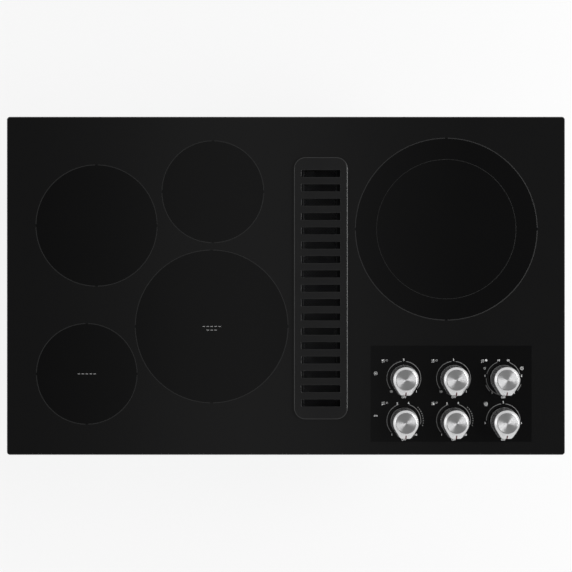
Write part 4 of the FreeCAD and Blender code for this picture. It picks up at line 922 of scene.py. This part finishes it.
class COOKTOP_OT_grease_filter(Operator):
    """Models the grease filter: a rolled frame, two sheets of mesh and the pad between them"""
    bl_idname = "cooktop.grease_filter"
    bl_label = "Grease Filter"

    # Shares of the filter's height
    SHEET_LEVELS = (("upper", 0.3), ("lower", -0.3))
    PAD_THICKNESS = 0.25
    CRUMPLE = 0.12

    FRAME_EDGE = 1.2 * MM
    CRUMPLE_SIZE = 7 * MM
    PAD_CELLS = (18, 120)

    def execute(self, context):
        settings = context.scene.cooktop
        fittings = settings.fittings
        centre, half = extent("grease_filter")
        size = 2 * half
        # Painted shade: the frame's dark tone stands for the shade in the grille's slots.
        shade_darkened_finish = drawn_metal("shade_darkened_frame", settings.colours.filter_frame, 0.45)
        complete(self.frame_ring(fittings, centre, size), "filter_frame", "filter", "filter_aluminium",
                 ["grease_filter"], shade_darkened_finish)
        inside = size - (RIGHT + REAR) * 2 * fittings.filter_frame
        for name, level in self.SHEET_LEVELS:
            sheet = self.mesh_sheet(fittings, centre + UP * level * size.z, inside)
            complete(sheet, f"filter_mesh_{name}", "filter", "filter_aluminium")
        complete(self.pad(centre, inside), "filter_pad", "filter", "filter_aluminium")
        return {"FINISHED"}

    def frame_ring(self, fittings, centre, size):
        ring = add("cube", size=1, location=centre, scale=size)
        with editing(ring):
            round_corners(fittings.filter_corner, 6)
            choose("FACE", lambda face: abs(face.normal.z) > 0.9)
            bpy.ops.mesh.inset(thickness=fittings.filter_frame)
            bpy.ops.mesh.bridge_edge_loops()
        soften(ring, 40, self.FRAME_EDGE, 3)
        return ring

    def grid(self, centre, size, columns, rows):
        return add("grid", x_subdivisions=columns, y_subdivisions=rows, size=1, location=centre,
                   scale=(size.x, size.y, 1))

    def mesh_sheet(self, fittings, centre, size):
        """A sheet of diamond mesh."""
        sheet = self.grid(centre, size, *(round(side / fittings.mesh_cell) for side in size.xy))
        with editing(sheet):
            bpy.ops.mesh.poke()
            choose("EDGE", self.squarely)
            bpy.ops.mesh.dissolve_edges(use_verts=False)
        modify(sheet, "WIREFRAME", thickness=fittings.mesh_wire, use_boundary=True)
        return sheet

    def squarely(self, edge):
        """Whether an edge inside the sheet runs straight along or across it."""
        step = edge.verts[0].co - edge.verts[1].co
        return not edge.is_boundary and min(abs(step.x), abs(step.y)) < 10 * MERGE

    def pad(self, centre, size):
        """A crumpled pad of fine mesh."""
        pad = self.grid(centre, size, *self.PAD_CELLS)
        modify(pad, "SOLIDIFY", thickness=self.PAD_THICKNESS * size.z, offset=0)
        crumple = bpy.data.textures.new("crumple", "CLOUDS")
        crumple.noise_scale = self.CRUMPLE_SIZE
        modify(pad, "DISPLACE", texture=crumple, direction="Z", strength=self.CRUMPLE * size.z)
        return pad


class COOKTOP_OT_foam_seal(Operator):
    """Models the foam strips under the edge of the glass"""
    bl_idname = "cooktop.foam_seal"
    bl_label = "Foam Seal"

    def execute(self, context):
        width = context.scene.cooktop.fittings.seal_width
        low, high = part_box("edge_seal")
        level, thick = (low.z + high.z) / 2, high.z - low.z
        strips = []
        for side in (-1, 1):
            strips.append(self.strip((0, side * (high.y - width / 2), level),
                                     (high.x - low.x, width, thick)))
            strips.append(self.strip((side * (high.x - width / 2), 0, level),
                                     (width, high.y - low.y - 2 * width, thick)))
        complete(join(strips), "foam_strips", "base", "foam_seal", ["edge_seal"])
        return {"FINISHED"}

    def strip(self, centre, size):
        strip = add("cube", size=1, location=centre, scale=size)
        with editing(strip):
            choose("EDGE", lambda edge: all(vert.co.z < centre[2] for vert in edge.verts))
            bpy.ops.mesh.bevel(offset=0.45 * size[2], segments=3)
        return strip


class COOKTOP_OT_motor(Operator):
    """Models the motor with its bell, vents and bolts"""
    bl_idname = "cooktop.motor"
    bl_label = "Motor"

    BELL = ((0.2, 0.985), (0.3, 0.92), (0.5, 0.84))     # shares of the bell's depth, and of the last radius
    BOSS_TAPER = 0.95
    EDGE = 0.8 * MM
    BOLT_RADIUS, BOLT_HEIGHT, BOLT_MIDDLE, BOLT_EDGE = 4.4 * MM, 3.4 * MM, 1.2 * MM, 0.5 * MM
    VENTS = 18
    VENT_LENGTH, VENT_MIDDLE = 0.36, 0.7                # shares of the can's length
    VENT_WIDTH, VENT_DEPTH, VENT_CORNER = 5 * MM, 7 * MM, 2.4 * MM

    def execute(self, context):
        fittings = context.scene.cooktop.fittings
        low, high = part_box("blower_motor")
        centre = extent("blower_motor")[0]
        can_length = high.x - low.x - 2 * fittings.motor_bell
        case = self.case(fittings, low, high, centre, can_length)
        self.cut_vents(case, low.x, centre, can_length, fittings.motor_can)
        complete(case, "motor_case", "base", "motor_black", ["blower_motor"])
        bolt = add("cylinder", vertices=6, radius=self.BOLT_RADIUS, depth=self.BOLT_HEIGHT,
                   location=UP * self.BOLT_MIDDLE)
        soften(bolt, 70, self.BOLT_EDGE, 2)
        hub = Vector((high.x - fittings.motor_bell, centre.y, centre.z))
        turns = [QUARTER / 2 + quarter * QUARTER for quarter in range(4)]
        arms = [Vector((0, math.cos(turn), math.sin(turn))) for turn in turns]
        bolts = copies(bolt, [(hub + arm * fittings.bolt_circle, RIGHT, arm) for arm in arms])
        complete(bolts, "motor_bolts", "base", "bright_steel")
        return {"FINISHED"}

    def case(self, fittings, low, high, centre, can_length):
        """A flanged can drawn in to a bell, with a boss for the rear bearing."""
        bell, flange = fittings.motor_bell, fittings.motor_flange
        radius = fittings.motor_can
        case = add("cylinder", vertices=96, radius=radius, depth=can_length, rotation=LYING,
                   location=(low.x + can_length / 2, centre.y, centre.z))
        with editing(case):
            choose("FACE", facing(RIGHT))
            for share, factor in self.BELL:
                radius *= factor
                stretch(RIGHT * (share * bell), (1, factor, factor), centre)
            bpy.ops.mesh.inset(thickness=radius - fittings.motor_boss)
            stretch(RIGHT * bell, (1, self.BOSS_TAPER, self.BOSS_TAPER), centre)
        carve(case, add("cylinder", vertices=96, radius=(high.z - low.z) / 2, depth=flange, rotation=LYING,
                        location=(low.x + flange / 2, centre.y, centre.z)), "UNION")
        soften(case, 50, self.EDGE, 2)
        return case

    def cut_vents(self, case, left, centre, can_length, can):
        """Cooling slots round the can."""
        cutter = add("cube", size=1, scale=(self.VENT_LENGTH * can_length, self.VENT_WIDTH, self.VENT_DEPTH),
                     location=(left + self.VENT_MIDDLE * can_length, centre.y, centre.z + can))
        with editing(cutter):
            round_corners(self.VENT_CORNER, 4)
            bpy.ops.mesh.select_all(action="SELECT")
            more = self.VENTS - 1
            bpy.ops.mesh.spin(steps=more, dupli=True, angle=TURN * more / self.VENTS, center=centre,
                              axis=RIGHT)
        carve(case, cutter)


class COOKTOP_OT_clamp_screws(Operator):
    """Models a threaded clamp screw with a knurled head and copies it to both sides"""
    bl_idname = "cooktop.clamp_screws"
    bl_label = "Clamp Screws"

    GRIP = 4 * MM               # thickness of the knurled head
    PLATE = 3 * MM              # thickness of the plate at the other end
    PLATE_INSET = 1 * MM        # how much smaller the plate's radius is
    RIM = 0.4 * MM
    KNURL = 0.4 * MM
    KNURL_GAP = 0.12 * MM
    THREAD_MARGIN = 1 * MM      # from each end of the screw to its thread

    def execute(self, context):
        fittings = context.scene.cooktop.fittings
        low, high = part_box("clamp_screws")
        head, height = (high.y - low.y) / 2, high.z - low.z
        rod = self.rod(fittings, height)
        carve(rod, self.disc(head, self.GRIP, 0.0, self.KNURL), "UNION")
        carve(rod, self.disc(head - self.PLATE_INSET, self.PLATE, height - self.PLATE, 0.0), "UNION")
        screws = copies(rod, [(Vector((side * (high.x - head), 0, low.z)), UP, RIGHT) for side in (-1, 1)])
        complete(screws, "threaded_clamps", "base", "bright_steel", ["clamp_screws"])
        return {"FINISHED"}

    def rod(self, fittings, height):
        """One turn of thread, repeated up the rod and closed at its ends."""
        pitch, core, crest = fittings.thread_pitch, fittings.thread_core, fittings.thread_crest
        rod = add("circle", vertices=28, radius=core, location=UP * self.THREAD_MARGIN)
        with editing(rod):
            for factor in (crest / core, core / crest):
                stretch(UP * (pitch / 2), (factor, factor, 1))
        modify(rod, "ARRAY", count=int((height - 2 * self.THREAD_MARGIN) / pitch),
               use_relative_offset=False, use_constant_offset=True, constant_offset_displace=(0, 0, pitch),
               use_merge_vertices=True, merge_threshold=10 * MERGE)
        with editing(rod):
            bpy.ops.mesh.fill_holes(sides=0)
            bpy.ops.mesh.normals_make_consistent(inside=False)
        return rod

    def disc(self, radius, thick, level, grip):
        """A disc with soft rims, whose side is knurled where it has a grip."""
        disc = add("cylinder", vertices=36, radius=radius - grip, depth=thick,
                   location=UP * (level + thick / 2))
        with editing(disc):
            choose("EDGE", lambda edge: not upright(edge))
            bpy.ops.mesh.bevel(offset=self.RIM, segments=2)
            if grip:
                choose("FACE", lambda face: abs(face.normal.z) < 0.1)
                bpy.ops.mesh.inset(thickness=self.KNURL_GAP, depth=grip, use_individual=True)
        return disc


class COOKTOP_OT_hex_screws(Operator):
    """Models one hexagon washer screw and copies it to the place of each solid screw"""
    bl_idname = "cooktop.hex_screws"
    bl_label = "Hex Screws"

    WASHER = 0.8 * MM           # thickness of the washer
    SHANK = 2 * MM              # radius of the shank
    SHANK_STEPS = ((0.75, 0.95), (0.25, 0.2))       # shares of the shank's length, and of the last radius
    HEX_RADIUS = 0.8            # share of the washer's radius
    HEX_HEIGHT, HEX_MIDDLE, HEX_EDGE = 2.3 * MM, 1.4 * MM, 0.4 * MM
    SLOT_LENGTH, SLOT_WIDTH, SLOT_DEPTH, SLOT_MIDDLE = 3.2 * MM, 0.8 * MM, 1.4 * MM, 2.4 * MM

    def execute(self, context):
        fittings = context.scene.cooktop.fittings
        screws = copies(self.pattern(fittings), self.places(fittings.screw_head))
        complete(screws, "hex_screws", "base", "bright_steel", ["chassis_screws"])
        return {"FINISHED"}

    def pattern(self, fittings):
        """A washer and hexagon with a cross recess, and a pointed shank below them."""
        washer = fittings.screw_head
        screw = add("cylinder", vertices=20, radius=washer, depth=self.WASHER,
                    location=UP * (self.WASHER / 2))
        with editing(screw):
            choose("FACE", facing(-UP))
            bpy.ops.mesh.inset(thickness=washer - self.SHANK)
            for share, factor in self.SHANK_STEPS:
                stretch(UP * (-share * fittings.screw_shank), (factor, factor, 1))
        head = add("cylinder", vertices=6, radius=self.HEX_RADIUS * washer, depth=self.HEX_HEIGHT,
                   location=UP * self.HEX_MIDDLE)
        with editing(head):
            choose("FACE", facing(UP))
            bpy.ops.mesh.bevel(offset=self.HEX_EDGE, segments=2)
        carve(screw, head, "UNION")
        for size in ((self.SLOT_LENGTH, self.SLOT_WIDTH), (self.SLOT_WIDTH, self.SLOT_LENGTH)):
            carve(screw, add("cube", size=1, location=UP * self.SLOT_MIDDLE, scale=(*size, self.SLOT_DEPTH)))
        return screw

    def places(self, head):
        """The seat of each solid screw's head, the way that it faces and a way across it."""
        solids = duplicate(frame["nodes"]["chassis_screws"])
        with editing(solids):
            bpy.ops.mesh.remove_doubles(threshold=MERGE)
            bpy.ops.mesh.separate(type="LOOSE")
        found = []
        for solid in list(bpy.context.selected_objects):
            points = [vert.co for vert in solid.data.vertices]
            low, high = (Vector([end(part) for part in zip(*points)]) for end in (min, max))
            spot = (low + high) / 2
            way = max((RIGHT, REAR, UP), key=(high - low).dot)
            wide = [point.dot(way) for point in points if (point - spot).cross(way).length > 0.9 * head]
            up = sum(wide) / len(wide) > spot.dot(way)
            spot += way * ((min(wide) if up else max(wide)) - spot.dot(way))
            out = way if up else -way
            found.append((spot, out, out.orthogonal().normalized()))
            bpy.data.objects.remove(solid)
        return found


# Pressings in the sheet

class COOKTOP_OT_pressings(Operator):
    """Models the beads in the chamber, the louvres in the box, the spot welds and the roll of the duct"""
    bl_idname = "cooktop.pressings"
    bl_label = "Pressings"

    BEAD_LEVELS = (0.28, 0.5, 0.72)     # shares of the chamber's height below the box
    BEAD_MARGIN = 26 * MM               # how much shorter a bead is than a narrow side
    LOUVRE_COLUMNS, LOUVRE_LEFT, LOUVRE_PITCH = 7, -355 * MM, 48 * MM
    LOUVRE_ROWS, LOUVRE_TOP, LOUVRE_DROP = 2, -25 * MM, 20 * MM
    LOUVRE_RIM = 0.6 * MM
    WELD_LEVELS = (0.22, 0.5, 0.78)     # shares of the box's height
    WELD_INSET = 24 * MM                # from the lips at the ends of the box
    WELD_HEIGHT = 12 * MM               # over the lower edge of the chamber
    WELDS, FIRST_WELD, WELD_PITCH = 7, 0.07, 0.143      # along the chamber, in shares of its depth
    WELD_FLAT = 0.16                    # height of a weld as a share of its radius
    ROLL_PLACE, ROLL_HEIGHT, ROLL_WIDTH, ROLL_EDGE = 12 * MM, 3.4 * MM, 5 * MM, 1.5 * MM

    def execute(self, context):
        fittings = context.scene.cooktop.fittings
        made = {"chamber_beads": self.beads(fittings), "box_louvres": self.louvres(fittings),
                "spot_welds": self.welds(fittings), "duct_roll": self.roll()}
        for name, piece in made.items():
            complete(piece, name, "base", "galvanised_steel")
        return {"FINISHED"}

    def beads(self, fittings):
        """Level beads on the open broad side of the chamber and its two ends."""
        low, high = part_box("vent_chamber")
        lip = (RIGHT + REAR) * fittings.sheet_lip
        low, high = low + lip, high - lip
        centre, size = (low + high) / 2, high - low
        heights = [low.z + level * (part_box("burner_box")[0].z - low.z) for level in self.BEAD_LEVELS]
        made = []
        for out, along, x, y, bead_length in (
                (-RIGHT, REAR, low.x, centre.y, size.y - 5 * fittings.bead_width),
                (-REAR, RIGHT, centre.x, low.y, size.x - self.BEAD_MARGIN),
                (REAR, RIGHT, centre.x, high.y, size.x - self.BEAD_MARGIN)):
            places = [(Vector((x, y, z)), out, along) for z in heights]
            made.append(copies(self.bead(fittings, bead_length), places))
        return join(made)

    def bead(self, fittings, bead_length):
        """A long bar with round ends and sloping sides."""
        width, height = fittings.bead_width, fittings.bead_height
        bar = add("cube", size=1, location=UP * 0.1 * height, scale=(bead_length, width, 0.4 * height))
        with editing(bar):
            round_corners(0.49 * width, 8)
            choose("FACE", facing(UP))
            bpy.ops.mesh.inset(thickness=0.16 * width, depth=0.45 * height)
            bpy.ops.mesh.inset(thickness=0.14 * width, depth=0.25 * height)
        return bar

    def walls(self, fittings):
        """The front and the rear wall of the box: the way that each faces, and its place."""
        low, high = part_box("burner_box")
        return (-REAR, low.y + fittings.sheet_lip), (REAR, high.y - fittings.sheet_lip)

    def louvres(self, fittings):
        """Rows of louvres on the front and the rear wall of the box."""
        places = []
        for out, face in self.walls(fittings):
            for column in range(self.LOUVRE_COLUMNS):
                x = self.LOUVRE_LEFT + self.LOUVRE_PITCH * column
                for row in range(self.LOUVRE_ROWS):
                    spot = Vector((x, face, self.LOUVRE_TOP - self.LOUVRE_DROP * row))
                    places.append((spot, out, UP.cross(out)))
        return copies(self.louvre(fittings), places)

    def louvre(self, fittings):
        """A quarter-round hood with a slot under it."""
        radius = fittings.louvre_height
        hood = add("cylinder", vertices=32, radius=radius, depth=fittings.louvre_length, rotation=LYING)
        with editing(hood):
            halve(UP)
            halve(REAR)
            bpy.ops.transform.resize(value=(1, 1, fittings.louvre_depth / radius), center_override=ORIGIN)
            choose("EDGE", self.rounded_end)
            bpy.ops.mesh.bevel(offset=0.75 * fittings.louvre_depth, segments=5)
            choose("FACE", facing(-REAR))
            bpy.ops.mesh.inset(thickness=self.LOUVRE_RIM)
            stretch(REAR * (0.4 * radius))
        return hood

    def rounded_end(self, edge):
        """Whether an edge lies between an end of the hood and its curve."""
        normals = [face.normal for face in edge.link_faces]
        return (any(abs(normal.x) > 0.9 for normal in normals)
                and not any(normal.z < -0.9 or normal.y < -0.9 for normal in normals))

    def welds(self, fittings):
        """Spot welds up the corners of the box and along the lower edge of the chamber."""
        pattern = add("uv_sphere", segments=16, ring_count=10, radius=fittings.weld)
        with editing(pattern):
            halve(UP)
            bpy.ops.transform.resize(value=(1, 1, self.WELD_FLAT), center_override=ORIGIN)
        low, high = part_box("burner_box")
        places = []
        for side in (-1, 1):
            for out, face in self.walls(fittings):
                for level in self.WELD_LEVELS:
                    z = low.z + level * (high.z - low.z)
                    places.append((Vector((side * (high.x - self.WELD_INSET), face, z)), out, RIGHT))
        low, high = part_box("vent_chamber")
        for number in range(self.WELDS):
            y = low.y + (self.FIRST_WELD + self.WELD_PITCH * number) * (high.y - low.y)
            places.append((Vector((low.x + fittings.sheet_lip, y, low.z + self.WELD_HEIGHT)), -RIGHT, REAR))
        return copies(pattern, places)

    def roll(self):
        """A bead rolled round the duct near its end."""
        low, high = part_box("outlet_collar")
        centre = Vector(((low.x + high.x) / 2, 0, (low.z + high.z) / 2))
        ring = add("plane", size=1, location=(high.x, high.y - self.ROLL_PLACE, centre.z),
                   scale=(self.ROLL_HEIGHT, self.ROLL_WIDTH, 1))
        spin(ring, centre, TURN, 96, REAR)
        soften(ring, 60, self.ROLL_EDGE, 4)
        return ring


# Finishes on the solids, and the stage

class COOKTOP_OT_finishes(Operator):
    """Gives every solid its finish"""
    bl_idname = "cooktop.finishes"
    bl_label = "Finishes"

    def execute(self, context):
        colours = context.scene.cooktop.colours
        made = {
            "black_glass": black_glass(colours, context.scene.cooktop.marks),
            "foam_seal": foam(colours.foam),
            "galvanised_steel": galvanised(colours.zinc),
            "motor_black": enamel("motor_enamel", colours.enamel, 0.35),
            "bright_steel": drawn_metal("drawn_steel", (0.68, 0.68, 0.69), 0.25),
            "black_grille": enamel("grille_enamel", colours.grille, 0.18),
            "filter_aluminium": shade_darkened_mesh(),
            "switch_plastic": moulding("switch_moulding", (0.05, 0.05, 0.05), 0.5),
            "lamp_plastic": moulding("lamp_moulding", (0.55, 0.06, 0.03), 0.15),
            "limiter_ceramic": moulding("limiter_moulding", (0.8, 0.78, 0.72), 0.6),
            "black_rubber": moulding("rubber_moulding", (0.02, 0.02, 0.02), 0.6),
            "knob_metal": satin_metal(colours.knob),
            "spun_aluminium": spun_metal(colours.cap),
            "insulation_fibre": insulating_fibre(),
            "heater_alloy": drawn_metal("ribbon_alloy", (0.3, 0.27, 0.25), 0.45),
        }
        for row in frame["record"]["subparts"]:
            node = frame["nodes"][row["node"]]
            node.data.materials.clear()
            node.data.materials.append(made[row["material_slot"]])
        return {"FINISHED"}


class COOKTOP_OT_stage(Operator):
    """Sets up the floor, the studio light and the camera over the glass"""
    bl_idname = "cooktop.stage"
    bl_label = "Stage"

    FLOOR_GAP = 1 * MM          # between the object and the floor

    # Stops of the sky: heights above the horizon with shares of its brightness, and places across the strip
    BRIGHT_STOPS, DIM_HEIGHT = ((0.3, 1.0), (0.55, 0.85)), 0.86
    STRIP_STOPS = ((0.0, 1.0), (0.08, 0.85), (0.17, 0.35), (0.27, 0.0))
    STRIP_OFFSET = 0.045
    STRIP_HEIGHT = 0.8

    def execute(self, context):
        stage = context.scene.cooktop.stage
        self.floor(stage)
        self.sky(context, stage)
        self.lamp(stage, stage.lamp_bearing, stage.key_power)
        self.lamp(stage, stage.lamp_bearing + math.pi, stage.fill_power)
        spot = (*stage.camera_shift, GLASS + stage.camera_height)
        bpy.ops.object.camera_add(location=spot, rotation=ORIGIN)
        context.scene.camera = context.object
        set_up(context.object.data, {"lens": stage.lens, "sensor_width": 36, "clip_end": 100})
        context.scene.view_settings.view_transform = "Standard"
        return {"FINISHED"}

    def floor(self, stage):
        """A pale floor that shows nearly white, and keeps the object's shadow."""
        floor = add("plane", size=40, location=(0, 0, cad_box[0].z - self.FLOOR_GAP))
        floor.name = "floor"
        finish = Finish("floor", Roughness=0.9, Base_Color=(*stage.floor, 1))
        camera, glossy, clear = (finish.node("LightPath", {}, out=f"Is {kind} Ray")
                                 for kind in ("Camera", "Glossy", "Transmission"))
        seen = finish.maths("MAXIMUM", finish.maths("MAXIMUM", camera, glossy), clear)
        glow = finish.node("Emission", {"Color": (1, 1, 1, 1), "Strength": 1.0})
        plain = Wire(finish, finish.shader.outputs[0])
        shown = finish.node("MixShader", {0: seen * stage.floor_glow, 1: plain, 2: glow})
        finish.feed(finish.nodes["Material Output"].inputs["Surface"], shown)
        floor.data.materials.append(finish.material)

    def sky(self, context, stage):
        """Light all round that fades to a dim patch straight above, which the glass mirrors."""
        world = bpy.data.worlds.new("studio")
        context.scene.world = world
        tree = Tree(world)
        direction = tree.node("TexCoord", {}, out="Generated")
        across, height = (tree.node("SeparateXYZ", {"Vector": direction}, out=axis) for axis in "XZ")
        bright = [(at, share * stage.horizon) for at, share in self.BRIGHT_STOPS]
        dome = tree.ramp(height, *bright, (self.DIM_HEIGHT, stage.zenith), (1.0, stage.zenith))
        strip = tree.ramp(abs(across / height + self.STRIP_OFFSET), *self.STRIP_STOPS)
        light = dome + stage.strip * strip * tree.maths("GREATER_THAN", height, self.STRIP_HEIGHT)
        tree.feed(tree.nodes["Background"].inputs["Color"], light)

    def lamp(self, stage, bearing, power):
        spot = heading(bearing) * stage.lamp_distance + UP * stage.lamp_height
        aim = (UP * GLASS - spot).to_track_quat("-Z", "Y").to_euler()
        bpy.ops.object.light_add(type="AREA", location=spot, rotation=aim)
        set_up(bpy.context.object.data, {"shape": "RECTANGLE", "size": stage.lamp_size,
                                         "size_y": stage.lamp_depth, "energy": power})


class COOKTOP_PT_panel(Panel):
    """Lists the steps that dress the cooktop"""
    bl_idname = "COOKTOP_PT_panel"
    bl_label = "Cooktop"
    bl_space_type = "VIEW_3D"
    bl_region_type = "UI"
    bl_category = "Cooktop"

    def draw(self, context):
        for step in STEPS:
            self.layout.operator(step.bl_idname)


STEPS = (COOKTOP_OT_stage, COOKTOP_OT_finishes, COOKTOP_OT_zone_rings, COOKTOP_OT_zone_marks,
         COOKTOP_OT_dials, COOKTOP_OT_knobs, COOKTOP_OT_grease_filter, COOKTOP_OT_foam_seal,
         COOKTOP_OT_motor, COOKTOP_OT_clamp_screws, COOKTOP_OT_hex_screws, COOKTOP_OT_pressings)
CLASSES = (MarkSettings, KnobSettings, FittingSettings, ColourSettings, StageSettings, CooktopSettings,
           *STEPS, COOKTOP_PT_panel)


def register():
    for item in CLASSES:
        bpy.utils.register_class(item)
    bpy.types.Scene.cooktop = PointerProperty(type=CooktopSettings)


def unregister():
    del bpy.types.Scene.cooktop
    for item in reversed(CLASSES):
        bpy.utils.unregister_class(item)


def main():
    register()
    for step in STEPS:
        family, name = step.bl_idname.split(".")
        getattr(getattr(bpy.ops, family), name)()


if __name__ == "__main__":
    main()
